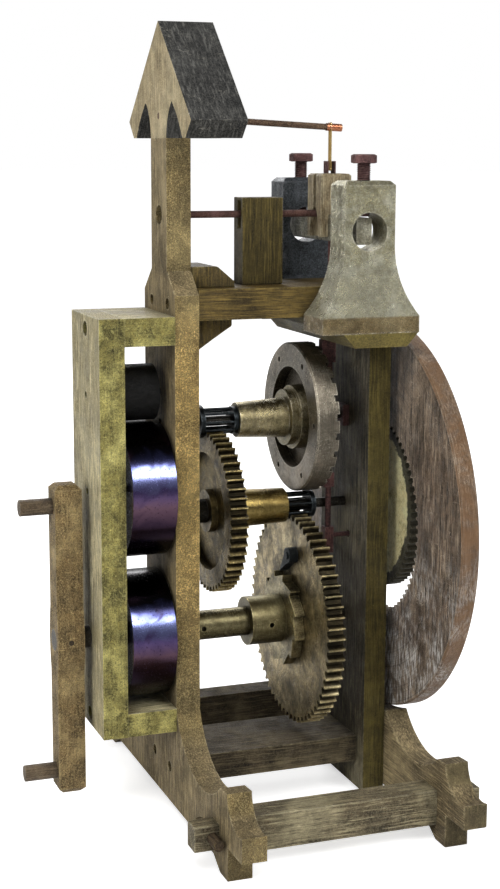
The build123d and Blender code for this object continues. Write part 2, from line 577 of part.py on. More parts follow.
with BuildPart() as crosshead:
    left, right = CROSSHEAD_X - CROSSHEAD_HALF, CROSSHEAD_X + CROSSHEAD_HALF
    with BuildSketch(Plane.XZ.offset(-CROSSHEAD_END_Y)):
        with BuildLine():
            Polyline(
                (left, CAPITAL_LOW_Z),
                (right, CAPITAL_LOW_Z),
                (right - CROSSHEAD_CHAMFER, RIGHT_POST_TOP_Z),
                (left + CROSSHEAD_CHAMFER, RIGHT_POST_TOP_Z),
                close=True,
            )
        make_face()
    extrude(amount=2 * CROSSHEAD_END_Y)
    with BuildSketch(Plane.XY.offset(CAPITAL_LOW_Z)):
        with Locations(((left + TOP_BEAM_END_X) / 2, 0)):
            Rectangle(TOP_BEAM_END_X - left, 2 * TOP_BEAM_HALF)
    extrude(amount=TOP_BEAM_LOW_Z - CAPITAL_LOW_Z)
    with BuildSketch(Plane.XY.offset(RIGHT_POST_TOP_Z)):
        with Locations((STAFF_X, STAFF_Y)):
            Rectangle(STAFF_SLOT_LONG, STAFF_SLOT_WIDE)
    extrude(amount=TOP_BEAM_LOW_Z - RIGHT_POST_TOP_Z, mode=Mode.SUBTRACT)
finish(crosshead, "crosshead")

with BuildPart() as guide_block:
    with BuildSketch(Plane.YZ.offset(GUIDE_X)):
        with Locations((GUIDE_Y, (TOP_BEAM_TOP_Z + GUIDE_TOP_Z) / 2)):
            Rectangle(GUIDE_DEEP, GUIDE_TOP_Z - TOP_BEAM_TOP_Z)
        with Locations((0, ROD_Z)):
            Rectangle(2 * (ROD_R + SLIDE), GUIDE_SLOT_HIGH, mode=Mode.SUBTRACT)
    extrude(amount=GUIDE_LONG)
finish(guide_block, "guide_block")


def capital(name, side):
    """A flared pedestal with an eye through it and a threaded hole down to the eye."""
    waist, base = CAPITAL_WAIST_Z, CAPITAL_LOW_Z + CAPITAL_BASE_HIGH
    shapes = (
        (Plane.XZ.offset(-side * CAPITAL_Y - CAPITAL_BASE_DEEP), CAPITAL_X,
         CAPITAL_TOP_HALF, CAPITAL_BASE_HALF, 2 * CAPITAL_BASE_DEEP, Mode.ADD),
        (Plane.YZ.offset(CAPITAL_X - CAPITAL_BASE_HALF), side * CAPITAL_Y,
         CAPITAL_TOP_DEEP, CAPITAL_BASE_DEEP, 2 * CAPITAL_BASE_HALF, Mode.INTERSECT),
    )
    with BuildPart() as piece:
        for plane, middle, top_half, base_half, length, mode in shapes:
            with BuildSketch(plane):
                with BuildLine():
                    for sign in (-1, 1):
                        flare = sign * (top_half + CAPITAL_FLARE * (base_half - top_half))
                        edge = middle + sign * top_half
                        Polyline(
                            (middle, CAPITAL_TOP_Z),
                            (edge - sign * CAPITAL_CHAMFER, CAPITAL_TOP_Z),
                            (edge, CAPITAL_TOP_Z - CAPITAL_CHAMFER),
                            (edge, waist),
                        )
                        ThreePointArc(
                            (edge, waist),
                            (middle + flare, (waist + base) / 2),
                            (middle + sign * base_half, base),
                        )
                        Polyline(
                            (middle + sign * base_half, base),
                            (middle + sign * base_half, CAPITAL_LOW_Z),
                            (middle, CAPITAL_LOW_Z),
                        )
                make_face()
            extrude(amount=length, mode=mode)
        with BuildSketch(Plane.XZ.offset(-side * CAPITAL_Y - CAPITAL_BASE_DEEP)):
            with Locations((CAPITAL_X, PIVOT_Z)):
                Circle(EYE_R)
        extrude(amount=2 * CAPITAL_BASE_DEEP, mode=Mode.SUBTRACT)
        with BuildSketch(Plane.XY.offset(PIVOT_Z)):
            with Locations((CAPITAL_X, side * CAPITAL_Y)):
                Circle(SCREW_R + RUN)
        extrude(amount=CAPITAL_TOP_Z - PIVOT_Z, mode=Mode.SUBTRACT)
    finish(piece, name)


capital("near_capital", -1)
capital("far_capital", 1)

for name, side in (("near_screw", -1), ("far_screw", 1)):
    with BuildPart() as screw:
        tip_z = PIVOT_Z + BAR_HIGH / 2 + SCREW_REST
        head_z = CAPITAL_TOP_Z + SCREW_SHOWN
        with BuildSketch(Plane.XY.offset(tip_z)):
            with Locations((CAPITAL_X, side * CAPITAL_Y)):
                Circle(SCREW_R)
        extrude(amount=head_z - tip_z)
        with BuildSketch(Plane.XY.offset(head_z)):
            with Locations((CAPITAL_X, side * CAPITAL_Y)):
                RegularPolygon(SCREW_HEAD_AF / 2, 6, major_radius=False)
        extrude(amount=SCREW_HEAD_HIGH)
        chamfer(screw.faces().sort_by(Axis.Z)[-1].edges(), SCREW_CHAMFER)
    finish(screw, name)

with BuildPart() as bracket_rod:
    with BuildSketch(rod_line):
        Circle(BRACKET_ROD_R)
    extrude(amount=BRACKET_ROD_LONG)
finish(bracket_rod, "bracket_rod")

with BuildPart() as rod_sleeve:
    with BuildSketch(rod_line.offset(BRACKET_ROD_LONG)):
        Circle(BRACKET_ROD_R + SLEEVE_WALL)
    extrude(amount=SLEEVE_LONG)
    with BuildSketch(Plane.YZ.offset(STRIP_X - STRIP_THICK / 2)):
        with Locations((0, STRIP_TOP_Z)):
            Rectangle(STRIP_WIDE, 2 * STRIP_TOP_BITE)
    extrude(amount=STRIP_THICK, mode=Mode.SUBTRACT)
finish(rod_sleeve, "rod_sleeve")

with BuildPart() as suspension_strip:
    with BuildSketch(Plane.YZ.offset(STRIP_X - STRIP_THICK / 2)):
        with Locations((0, (STRIP_TOP_Z + STRIP_TOP_BITE + STRIP_LOW_Z) / 2)):
            Rectangle(STRIP_WIDE, STRIP_TOP_Z + STRIP_TOP_BITE - STRIP_LOW_Z)
    extrude(amount=STRIP_THICK)
finish(suspension_strip, "suspension_strip")

with BuildPart() as bearing_block:
    with BuildSketch(Plane.YZ.offset(RIGHT_X - BEARING_THICK)):
        with Locations((0, TOP_Z)):
            Rectangle(BEARING_WIDE, BEARING_WIDE)
            Circle(ESCAPE_R + RUN, mode=Mode.SUBTRACT)
    extrude(amount=BEARING_THICK)
finish(bearing_block, "bearing_block")

# ================================================================ drive unit, fixed pieces
with BuildPart() as drive_plate:
    with BuildSketch(Plane.YZ.offset(PLATE_X)):
        with Locations((0, (PLATE_LOW_Z + PLATE_TOP_Z) / 2)):
            Rectangle(2 * PLATE_HALF, PLATE_TOP_Z - PLATE_LOW_Z)
        with Locations((0, LOW_Z)):
            Circle(WINDING_R + RUN, mode=Mode.SUBTRACT)
        with Locations((0, TOP_BOLT_Z), (0, LOW_BOLT_Z)):
            Circle(DRIVE_BOLT_R, mode=Mode.SUBTRACT)
        with Locations((0, STORE_Z)):
            Circle(STORE_AXLE_R, mode=Mode.SUBTRACT)
        with Locations((0, SPOOL_Z)):
            Circle(SPOOL_AXLE_R, mode=Mode.SUBTRACT)
    extrude(amount=PLATE_THICK)
finish(drive_plate, "drive_plate")

for name, bolt_z, high in (
    ("top_spacer", TOP_BOLT_Z, TOP_SPACER_HIGH),
    ("low_spacer", LOW_BOLT_Z, LOW_SPACER_HIGH),
):
    with BuildPart() as spacer:
        with BuildSketch(Plane.YZ.offset(LEFT_X - PLATE_GAP)):
            with Locations((0, bolt_z)):
                Rectangle(2 * PLATE_HALF, high)
                Circle(DRIVE_BOLT_R, mode=Mode.SUBTRACT)
        extrude(amount=PLATE_GAP)
    finish(spacer, name)

with BuildPart() as drive_bolts:
    with BuildSketch(Plane.YZ.offset(PLATE_X + DRIVE_BOLT_SUNK)):
        with Locations((0, TOP_BOLT_Z), (0, LOW_BOLT_Z)):
            Circle(DRIVE_BOLT_R)
    extrude(amount=LEFT_X + POST_THICK - PLATE_X - DRIVE_BOLT_SUNK)
finish(drive_bolts, "drive_bolts")

for name, radius, z in (
    ("spool_axle", SPOOL_AXLE_R, SPOOL_Z),
    ("store_axle", STORE_AXLE_R, STORE_Z),
):
    with BuildPart() as axle:
        with BuildSketch(Plane.YZ.offset(PLATE_X + AXLE_SUNK)):
            with Locations((0, z)):
                Circle(radius)
        extrude(amount=LEFT_X + POST_THICK - PLATE_X - 2 * AXLE_SUNK)
    finish(axle, name)


def turned(name, x_start, length, radius, z, bore=0.0, end_radius=None):
    """A turned piece along X: a cylinder, or a cone when end_radius is given, with a bore."""
    end = radius if end_radius is None else end_radius
    with BuildPart() as piece:
        with BuildSketch(Plane.XZ):
            with BuildLine():
                Polyline(
                    (x_start, z + bore),
                    (x_start, z + radius),
                    (x_start + length, z + end),
                    (x_start + length, z + bore),
                    close=True,
                )
            make_face()
        revolve(axis=Axis((0, 0, z), (1, 0, 0)))
    finish(piece, name)


COIL_X = LEFT_X - PLATE_GAP + COIL_SIDE
turned("spool", COIL_X, SPOOL_WIDE, SPOOL_R, SPOOL_Z, SPOOL_AXLE_R + RUN)
turned("store_core", COIL_X, COIL_WIDE, CORE_R, STORE_Z, STORE_AXLE_R + RUN)
turned("store_spring", COIL_X, COIL_WIDE, STORE_R, STORE_Z, CORE_R)

# ================================================================ winding arbor
turned("output_core", COIL_X, COIL_WIDE, CORE_R, LOW_Z, WINDING_R)
turned("output_spring", COIL_X, COIL_WIDE, OUTPUT_R, LOW_Z, CORE_R)

CRANK_X = LEFT_X - CRANK_OUT - CRANK_THICK
with BuildPart() as crank_bar:
    with BuildSketch(Plane.YZ.offset(CRANK_X)):
        with BuildLine():
            for side in (-1, 1):
                wide, boss = side * CRANK_HALF_WIDE, side * CRANK_BOSS_HALF
                Polyline(
                    (0, LOW_Z + CRANK_HALF_LONG),
                    (wide, LOW_Z + CRANK_HALF_LONG),
                    (wide, LOW_Z + CRANK_SWELL),
                )
                ThreePointArc(
                    (wide, LOW_Z + CRANK_SWELL), (boss, LOW_Z), (wide, LOW_Z - CRANK_SWELL)
                )
                Polyline(
                    (wide, LOW_Z - CRANK_SWELL),
                    (wide, LOW_Z - CRANK_HALF_LONG),
                    (0, LOW_Z - CRANK_HALF_LONG),
                )
        make_face()
        with Locations((0, LOW_Z)):
            Circle(WINDING_R, mode=Mode.SUBTRACT)
        with Locations((0, LOW_Z + CRANK_REACH), (0, LOW_Z - CRANK_REACH)):
            Circle(PEG_R, mode=Mode.SUBTRACT)
    extrude(amount=CRANK_THICK)
    ends = crank_bar.faces().filter_by(Axis.Z).sort_by(Axis.Z)
    chamfer(ends[0].edges() + ends[-1].edges(), CRANK_CHAMFER)
    with BuildSketch(Plane.XZ.offset(-2 * CRANK_BOSS_HALF)):
        with Locations((CRANK_X + CRANK_THICK / 2, LOW_Z)):
            Circle(CRANK_PIN_R)
    extrude(amount=4 * CRANK_BOSS_HALF, mode=Mode.SUBTRACT)
finish(crank_bar, "crank_bar")

with BuildPart() as crank_pegs:
    with BuildSketch(Plane.YZ.offset(CRANK_X - PEG_OUT)):
        with Locations((0, LOW_Z + CRANK_REACH), (0, LOW_Z - CRANK_REACH)):
            Circle(PEG_R)
    extrude(amount=PEG_OUT + CRANK_THICK)
finish(crank_pegs, "crank_pegs")

with BuildPart() as winding_shaft:
    with BuildSketch(Plane.XZ):
        with BuildLine():
            Polyline(
                (CRANK_X, LOW_Z),
                (CRANK_X, LOW_Z + WINDING_R),
                (PIVOT_X, LOW_Z + WINDING_R),
                (PIVOT_X, LOW_Z + PIVOT_R),
                (RIGHT_X + PIVOT_LONG, LOW_Z + PIVOT_R),
                (RIGHT_X + PIVOT_LONG, LOW_Z),
                close=True,
            )
        make_face()
    revolve(axis=Axis((0, 0, LOW_Z), (1, 0, 0)))
    with BuildSketch(Plane.XZ.offset(-CRANK_BOSS_HALF)):
        with Locations((CRANK_X + CRANK_THICK / 2, LOW_Z)):
            Circle(CRANK_PIN_R)
    extrude(amount=2 * CRANK_BOSS_HALF, mode=Mode.SUBTRACT)
finish(winding_shaft, "winding_shaft")

with BuildPart() as crank_pin:
    with BuildSketch(Plane.XZ.offset(-CRANK_BOSS_HALF)):
        with Locations((CRANK_X + CRANK_THICK / 2, LOW_Z)):
            Circle(CRANK_PIN_R)
    extrude(amount=2 * CRANK_BOSS_HALF)
finish(crank_pin, "crank_pin")


def cross_drilled(name, x_start, length, radius, hole_x):
    """A sleeve on the winding arbor, cross-drilled for a locking pin."""
    with BuildPart() as piece:
        with BuildSketch(Plane.YZ.offset(x_start)):
            with Locations((0, LOW_Z)):
                Circle(radius)
                Circle(WINDING_R, mode=Mode.SUBTRACT)
        extrude(amount=length)
        with BuildSketch(Plane.XZ.offset(-2 * radius)):
            with Locations((hole_x, LOW_Z)):
                Circle(PIN_HOLE_R)
        extrude(amount=4 * radius, mode=Mode.SUBTRACT)
    finish(piece, name)


TUBE_X = INNER_X + GAP
RATCHET_X = GREAT_X - GAP - RATCHET_THICK
COLLAR_X = RATCHET_X - COLLAR_LONG
cross_drilled("winding_tube", TUBE_X, COLLAR_X - TUBE_X, TUBE_R, INNER_X + TUBE_HOLE_X)
cross_drilled("ratchet_collar", COLLAR_X, COLLAR_LONG, COLLAR_R, COLLAR_X + COLLAR_HOLE_X)

with BuildPart() as ratchet_wheel:
    with BuildSketch(Plane.YZ.offset(RATCHET_X)):
        with BuildLine():
            Polyline(
                *place(tooth_ring(RATCHET_TEETH, RATCHET_R - RATCHET_DEEP, RATCHET_R,
                                  **RATCHET_TOOTH), LOW_Z),
                close=True,
            )
        make_face()
        with Locations((0, LOW_Z)):
            Circle(WINDING_R, mode=Mode.SUBTRACT)
    extrude(amount=RATCHET_THICK)
finish(ratchet_wheel, "ratchet_wheel")

# ================================================================ great wheel
with BuildPart() as great_wheel:
    with BuildSketch(Plane.YZ.offset(GREAT_X)):
        with BuildLine():
            Polyline(
                *place(tooth_ring(GREAT_TEETH, GREAT_PITCH_R - GREAT_MODULE, GREAT_TIP_R,
                                  turn=180 / GREAT_TEETH, **GREAT_TOOTH), LOW_Z),
                close=True,
            )
        make_face()
        with Locations((0, LOW_Z)):
            Circle(WINDING_R + RUN, mode=Mode.SUBTRACT)
        with Locations((CLICK_Y, CLICK_Z)):
            Circle(CLICK_PIN_R, mode=Mode.SUBTRACT)
    extrude(amount=GREAT_THICK)
finish(great_wheel, "great_wheel")

with BuildPart() as click_pin:
    with BuildSketch(Plane.YZ.offset(GREAT_X - GAP - CLICK_THICK - CLICK_PIN_PROUD)):
        with Locations((CLICK_Y, CLICK_Z)):
            Circle(CLICK_PIN_R)
    extrude(amount=CLICK_PIN_PROUD + CLICK_THICK + GAP + GREAT_THICK / 2)
finish(click_pin, "click_pin")

with BuildPart() as click:
    with BuildSketch(Plane.YZ.offset(GREAT_X - GAP - CLICK_THICK)):
        with Locations((CLICK_Y, CLICK_Z)):
            Circle(CLICK_BOSS_R)
        seated = (
            (CLICK_Y + CLICK_BOSS_R / 2, CLICK_Z + CLICK_BOSS_R * 0.8),
            CLICK_TIP,
            CLICK_NOSE,
            (CLICK_Y - CLICK_BOSS_R / 3, CLICK_Z - CLICK_BOSS_R * 0.8),
        )
        with BuildLine():
            Polyline(
                *[swung(corner, (CLICK_Y, CLICK_Z), CLICK_LIFT) for corner in seated],
                close=True,
            )
        make_face()
        with Locations((CLICK_Y, CLICK_Z)):
            Circle(CLICK_PIN_R + RUN, mode=Mode.SUBTRACT)
    extrude(amount=CLICK_THICK)
finish(click, "click")

# ================================================================ second arbor
with BuildPart() as second_wheel:
    with BuildSketch(Plane.YZ.offset(SECOND_X)):
        with BuildLine():
            Polyline(
                *place(tooth_ring(SECOND_TEETH, SECOND_PITCH_R - SECOND_MODULE, SECOND_TIP_R,
                                  turn=180 / SECOND_TEETH, **SECOND_TOOTH), MID_Z),
                close=True,
            )
        make_face()
        with Locations((0, MID_Z)):
            Circle(SECOND_R, mode=Mode.SUBTRACT)
    extrude(amount=SECOND_THICK)
    with BuildSketch(Plane.YZ.offset(SECOND_X)):
        with Locations((0, MID_Z)):
            Circle(SECOND_DISH_R)
            Circle(SECOND_DISH_BOSS_R, mode=Mode.SUBTRACT)
    extrude(amount=SECOND_DISH_DEEP, mode=Mode.SUBTRACT)
finish(second_wheel, "second_wheel")

with BuildPart() as second_arbor:
    with BuildSketch(Plane.XZ):
        with BuildLine():
            Polyline(
                (LEFT_X + BOSS_BACK, MID_Z),
                (LEFT_X + BOSS_BACK, MID_Z + SECOND_BOSS_R),
                (SECOND_X, MID_Z + SECOND_BOSS_R),
                (SECOND_X, MID_Z + SECOND_R),
                (INNER_GEAR_X + INNER_GEAR_THICK, MID_Z + SECOND_R),
                (INNER_GEAR_X + INNER_GEAR_THICK, MID_Z),
                close=True,
            )
        make_face()
    revolve(axis=Axis((0, 0, MID_Z), (1, 0, 0)))
finish(second_arbor, "second_arbor")
turned("second_hub", SECOND_X + SECOND_THICK, HUB_MID_END_X - SECOND_X - SECOND_THICK,
       HUB_MID_R, MID_Z, SECOND_R, HUB_MID_END_R)


def lantern(name, x_start, length, leaves, pitch_r, z, shaft_r, flanges):
    """A lantern pinion: bars between flanges, each flange given as (start, thickness, radius)."""
    with BuildPart() as pinion:
        with BuildSketch(Plane.YZ.offset(x_start)):
            with Locations(*trundles(leaves, pitch_r, z)):
                Circle(TRUNDLE_R)
        extrude(amount=length)
        for flange_x, thick, radius in flanges:
            with BuildSketch(Plane.YZ.offset(flange_x)):
                with Locations((0, z)):
                    Circle(radius)
                    Circle(shaft_r, mode=Mode.SUBTRACT)
            extrude(amount=thick)
    finish(pinion, name)


lantern("second_pinion", HUB_MID_END_X, PINION_MID_LONG, SECOND_LEAVES, SECOND_PINION_R, MID_Z,
        SECOND_R, ((HUB_MID_END_X + PINION_MID_LONG, FLANGE_THICK, FLANGE_MID_R),))

with BuildPart() as inner_gear:
    with BuildSketch(Plane.YZ.offset(INNER_GEAR_X)):
        with BuildLine():
            Polyline(
                *place(tooth_ring(INNER_TEETH, INNER_PITCH_R - INNER_DEEP,
                                  INNER_PITCH_R + INNER_TALL, **INNER_TOOTH), MID_Z),
                close=True,
            )
        make_face()
        with Locations((0, MID_Z)):
            Circle(SECOND_R, mode=Mode.SUBTRACT)
    extrude(amount=INNER_GEAR_THICK)
finish(inner_gear, "inner_gear")

# ================================================================ ring
with BuildPart() as toothed_ring:
    with BuildSketch(Plane.YZ.offset(RING_X)):
        with Locations((0, RING_Z)):
            Circle(RING_R)
        with BuildLine():
            Polyline(
                *place(tooth_ring(RING_TEETH, RING_PITCH_R - RING_TALL,
                                  RING_PITCH_R + RING_DEEP, **RING_TOOTH), RING_Z),
                close=True,
            )
        make_face(mode=Mode.SUBTRACT)
    extrude(amount=RING_THICK)
    chamfer(toothed_ring.edges().filter_by(GeomType.CIRCLE), RING_CHAMFER)
finish(toothed_ring, "toothed_ring")

# ================================================================ escape arbor
TRUNDLES_TOP_X = PINION_TOP_X + TOP_FLANGE_THICK
HUB_TOP_X = TRUNDLES_TOP_X + PINION_TOP_LONG + FLANGE_THICK
COLLAR_A_X = ESCAPE_X - COLLAR_A_THICK
lantern("escape_pinion", TRUNDLES_TOP_X, PINION_TOP_LONG, ESCAPE_LEAVES, ESCAPE_PINION_R, TOP_Z,
        ESCAPE_R, ((PINION_TOP_X, TOP_FLANGE_THICK, TOP_FLANGE_R),
                   (TRUNDLES_TOP_X + PINION_TOP_LONG, FLANGE_THICK, FLANGE_TOP_R)))
turned("escape_arbor", LEFT_X + BOSS_BACK, RIGHT_OUT_X - ARBOR_SUNK - LEFT_X - BOSS_BACK,
       ESCAPE_R, TOP_Z)

with BuildPart() as escape_hub:
    with BuildSketch(Plane.XZ):
        with BuildLine():
            Polyline(
                (HUB_TOP_X, TOP_Z + ESCAPE_R),
                (HUB_TOP_X, TOP_Z + HUB_TOP_R),
                (COLLAR_A_X, TOP_Z + HUB_TOP_END_R),
                (COLLAR_A_X, TOP_Z + COLLAR_A_R),
                (ESCAPE_X, TOP_Z + COLLAR_A_R),
                (ESCAPE_X, TOP_Z + COLLAR_B_R),
                (ESCAPE_X + RECESS_DEEP, TOP_Z + COLLAR_B_R),
                (ESCAPE_X + RECESS_DEEP, TOP_Z + ESCAPE_R),
                close=True,
            )
        make_face()
    revolve(axis=Axis((0, 0, TOP_Z), (1, 0, 0)))
finish(escape_hub, "escape_hub")

with BuildPart() as escape_wheel:
    with BuildSketch(Plane.YZ.offset(ESCAPE_X)):
        with Locations((0, TOP_Z)):
            Circle(ESCAPE_WHEEL_R)
            Circle(ESCAPE_R, mode=Mode.SUBTRACT)
    extrude(amount=ESCAPE_THICK)
    with BuildSketch(Plane.YZ.offset(ESCAPE_X)):
        with Locations((0, TOP_Z)):
            Circle(RECESS_R)
    extrude(amount=RECESS_DEEP, mode=Mode.SUBTRACT)
    with BuildSketch(Plane.YZ.offset(ESCAPE_X)):
        with Locations((0, TOP_Z)):
            with PolarLocations(RIM_HOLE_PCR, RIM_HOLES):
                Circle(RIM_HOLE_R)
    extrude(amount=RIM_HOLE_DEEP, mode=Mode.SUBTRACT)
    with BuildSketch(Plane.YZ.offset(ESCAPE_X + ESCAPE_THICK - CROWN_DEEP)):
        with Locations((0, TOP_Z)):
            with PolarLocations(ESCAPE_WHEEL_R, ESCAPE_TEETH):
                Rectangle(CROWN_NOTCH_DEEP, CROWN_NOTCH_WIDE)
    extrude(amount=CROWN_DEEP, mode=Mode.SUBTRACT)
    chamfer(escape_wheel.edges().filter_by(GeomType.CIRCLE).group_by(Axis.X)[0]
            .sort_by(SortBy.RADIUS)[-1], ESCAPE_CHAMFER)
finish(escape_wheel, "escape_wheel")

# ================================================================ rocker
with BuildPart() as cross_bar:
    with BuildSketch(Plane.XZ.offset(-BAR_END_Y)):
        with Locations((ROCKER_X, PIVOT_Z)):
            Rectangle(BAR_WIDE, BAR_HIGH)
    extrude(amount=2 * BAR_END_Y)
    chamfer(cross_bar.edges().filter_by(Axis.Y), BAR_CHAMFER)
finish(cross_bar, "cross_bar")

with BuildPart() as rocker_head:
    head_mid_z = (HEAD_LOW_Z + HEAD_TOP_Z) / 2
    with BuildSketch(Plane.XZ.offset(-HEAD_DEEP / 2)):
        with Locations((ROCKER_X, head_mid_z)):
            Rectangle(HEAD_WIDE, HEAD_TOP_Z - HEAD_LOW_Z)
        saddle_top = PIVOT_Z + BAR_HIGH / 2
        with Locations((ROCKER_X, (HEAD_LOW_Z + saddle_top) / 2)):
            Rectangle(BAR_WIDE, saddle_top - HEAD_LOW_Z, mode=Mode.SUBTRACT)
    extrude(amount=HEAD_DEEP)
    chamfer(rocker_head.faces().sort_by(Axis.Z)[-1].edges(), HEAD_CHAMFER)
    with BuildSketch(Plane.YZ.offset(ROCKER_X - HEAD_WIDE / 2)):
        with BuildLine():
            for side in (-1, 1):
                ThreePointArc(
                    (side * HEAD_ARCH_HALF, HEAD_LOW_Z),
                    (side * (HEAD_ARCH_HALF - HEAD_ARCH_LEAN), HEAD_LOW_Z + HEAD_ARCH_MID),
                    (0, HEAD_ARCH_TOP_Z),
                )
            Line((-HEAD_ARCH_HALF, HEAD_LOW_Z), (HEAD_ARCH_HALF, HEAD_LOW_Z))
        make_face()
        groove_low_z = HEAD_ARCH_TOP_Z - GROOVE_LAP
        with Locations((0, (groove_low_z + HEAD_TOP_Z) / 2)):
            Rectangle(HEAD_GROOVE, HEAD_TOP_Z - groove_low_z)
    extrude(amount=HEAD_RECESS, mode=Mode.SUBTRACT)
finish(rocker_head, "rocker_head")

with BuildPart() as rocking_rod:
    with BuildSketch(Plane.YZ.offset(LEFT_X + ROD_BACK)):
        with Locations((0, ROD_Z)):
            Circle(ROD_R)
    extrude(amount=ROCKER_X - HEAD_WIDE / 2 + HEAD_RECESS - LEFT_X - ROD_BACK)
finish(rocking_rod, "rocking_rod")

with BuildPart() as clevis:
    with BuildSketch(Plane.XY.offset(HEAD_TOP_Z)):
        with Locations((STRIP_X, 0)):
            Rectangle(CLEVIS_WIDE, CLEVIS_DEEP)
            Rectangle(STRIP_THICK + 2 * STRIP_PLAY, CLEVIS_DEEP, mode=Mode.SUBTRACT)
    extrude(amount=CLEVIS_HIGH)
finish(clevis, "clevis")

with BuildPart() as staff:
    with BuildSketch(Plane.XY.offset(STAFF_LOW_Z)):
        with Locations((STAFF_X, STAFF_Y)):
            Circle(STAFF_R)
    extrude(amount=PIVOT_Z - BAR_HIGH / 2 - STAFF_LOW_Z)
finish(staff, "staff")

with BuildPart() as pallets:
    front = STAFF_X + PALLET_FRONT
    for low_z, high, back in (
        (UPPER_PALLET_Z, UPPER_PALLET_HIGH, UPPER_PALLET_X),
        (LOWER_PALLET_Z, LOWER_PALLET_HIGH, LOWER_PALLET_X),
        (STAFF_LOW_Z, END_BLOCK_HIGH, STAFF_X - PALLET_FRONT),
    ):
        with BuildSketch(Plane.XY.offset(low_z)):
            with Locations(((back + front) / 2, STAFF_Y)):
                Rectangle(front - back, PALLET_THICK)
            with Locations((STAFF_X, STAFF_Y)):
                Circle(STAFF_R, mode=Mode.SUBTRACT)
        extrude(amount=high)
finish(pallets, "pallets")

with BuildPart() as guide_pin:
    with BuildSketch(Plane.YZ.offset(STAFF_X + PALLET_FRONT)):
        with Locations((STAFF_Y, GUIDE_PIN_Z)):
            Circle(GUIDE_PIN_R)
    extrude(amount=RIGHT_X + GUIDE_PIN_BITE - STAFF_X - PALLET_FRONT)
finish(guide_pin, "guide_pin")
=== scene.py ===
# %% [markdown]
# # A geared clockwork with a coiled-strip drive
# The CAD model of the clockwork is the fixed frame of this scene. Blender adds what a drawing
# can't hold: worn edges, grain, tarnish, threads, the turns on the coiled strips and the light
# they are seen in.
# Every piece stays where the frame says, so no place in this file is typed in twice.

# %% Load the frame
import math

import bmesh
import bpy
from mathutils import Matrix, Vector


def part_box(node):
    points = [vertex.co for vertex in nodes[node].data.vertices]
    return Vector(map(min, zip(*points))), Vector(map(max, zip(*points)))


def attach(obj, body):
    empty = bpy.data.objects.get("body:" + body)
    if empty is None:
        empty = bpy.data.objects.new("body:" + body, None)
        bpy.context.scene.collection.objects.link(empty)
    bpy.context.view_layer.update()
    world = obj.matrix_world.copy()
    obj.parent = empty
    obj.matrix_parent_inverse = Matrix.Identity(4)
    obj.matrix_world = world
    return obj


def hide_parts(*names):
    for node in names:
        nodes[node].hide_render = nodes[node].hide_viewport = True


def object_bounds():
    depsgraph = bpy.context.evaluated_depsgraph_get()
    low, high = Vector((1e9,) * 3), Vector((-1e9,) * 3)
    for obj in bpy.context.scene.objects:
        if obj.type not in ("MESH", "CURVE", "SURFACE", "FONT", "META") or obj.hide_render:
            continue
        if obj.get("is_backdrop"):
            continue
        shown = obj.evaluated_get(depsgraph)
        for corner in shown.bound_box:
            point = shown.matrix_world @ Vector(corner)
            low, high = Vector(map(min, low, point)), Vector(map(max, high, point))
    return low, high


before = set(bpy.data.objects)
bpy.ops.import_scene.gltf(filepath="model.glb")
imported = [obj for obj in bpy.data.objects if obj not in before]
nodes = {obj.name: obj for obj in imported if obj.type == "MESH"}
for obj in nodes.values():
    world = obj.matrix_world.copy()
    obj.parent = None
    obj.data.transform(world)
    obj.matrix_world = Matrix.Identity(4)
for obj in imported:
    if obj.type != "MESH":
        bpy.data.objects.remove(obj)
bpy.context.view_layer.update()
MM = 0.001

# %% [markdown]
# ## Measures taken from the frame
# An arbor's height is the middle of the wheel that it carries. Reading it from the node's box
# keeps the finish centred on the piece, whatever size the model is packed at.


# %% Middles
def middle(node):
    """Middle of a node's box."""
    low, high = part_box(node)
    return (low + high) / 2


great_axis = middle("great_wheel")
second_axis = middle("second_wheel")
escape_axis = middle("escape_wheel")
ring_axis = middle("toothed_ring")
print(
    "arbor heights in mm:",
    [round(p.z / MM, 1) for p in (great_axis, second_axis, escape_axis, ring_axis)],
)

# %% [markdown]
# ## Small helpers for node trees
# A node tree written out link by link is long and hard to read. Short helpers keep it readable:
# put adds a node with its settings and inputs, new_group starts a group with named sockets, and
# place sets a finished group into a tree. The rest are the sums and blends used all over.


# %% Tree helpers
def colour(red, green, blue):
    """A shader colour from screen values of 0 to 255."""
    def linear(value):
        share = value / 255
        return share / 12.92 if share <= 0.04045 else ((share + 0.055) / 1.055) ** 2.4

    return (linear(red), linear(green), linear(blue), 1.0)


def feed(tree, socket, value):
    """Links another node's output to an input, or sets the input to a plain value.

    Three numbers for a colour input are screen values of 0 to 255.
    """
    if isinstance(value, bpy.types.NodeSocket):
        tree.links.new(value, socket)
    elif socket.type == "RGBA" and len(value) == 3:
        socket.default_value = colour(*value)
    else:
        socket.default_value = value


def put(tree, kind, inputs=None, **settings):
    """Adds a node. Inputs go by label or by number."""
    node = tree.nodes.new(kind)
    for name, value in settings.items():
        setattr(node, name, value)
    for name, value in (inputs or {}).items():
        feed(tree, node.inputs[name], value)
    return node


def calc(tree, operation, first, second=0.0, clamp=False):
    """A Math node's result."""
    node = put(tree, "ShaderNodeMath", {0: first, 1: second}, operation=operation, use_clamp=clamp)
    return node.outputs[0]


def plus(tree, first, second, clamp=False):
    """Two values added."""
    return calc(tree, "ADD", first, second, clamp)


def minus(tree, first, second):
    """The second value taken from the first."""
    return calc(tree, "SUBTRACT", first, second)


def times(tree, first, second, clamp=False):
    """Two values multiplied."""
    return calc(tree, "MULTIPLY", first, second, clamp)


def vector_calc(tree, operation, first, second):
    """A Vector Math node's vector."""
    return put(tree, "ShaderNodeVectorMath", {0: first, 1: second}, operation=operation).outputs[0]


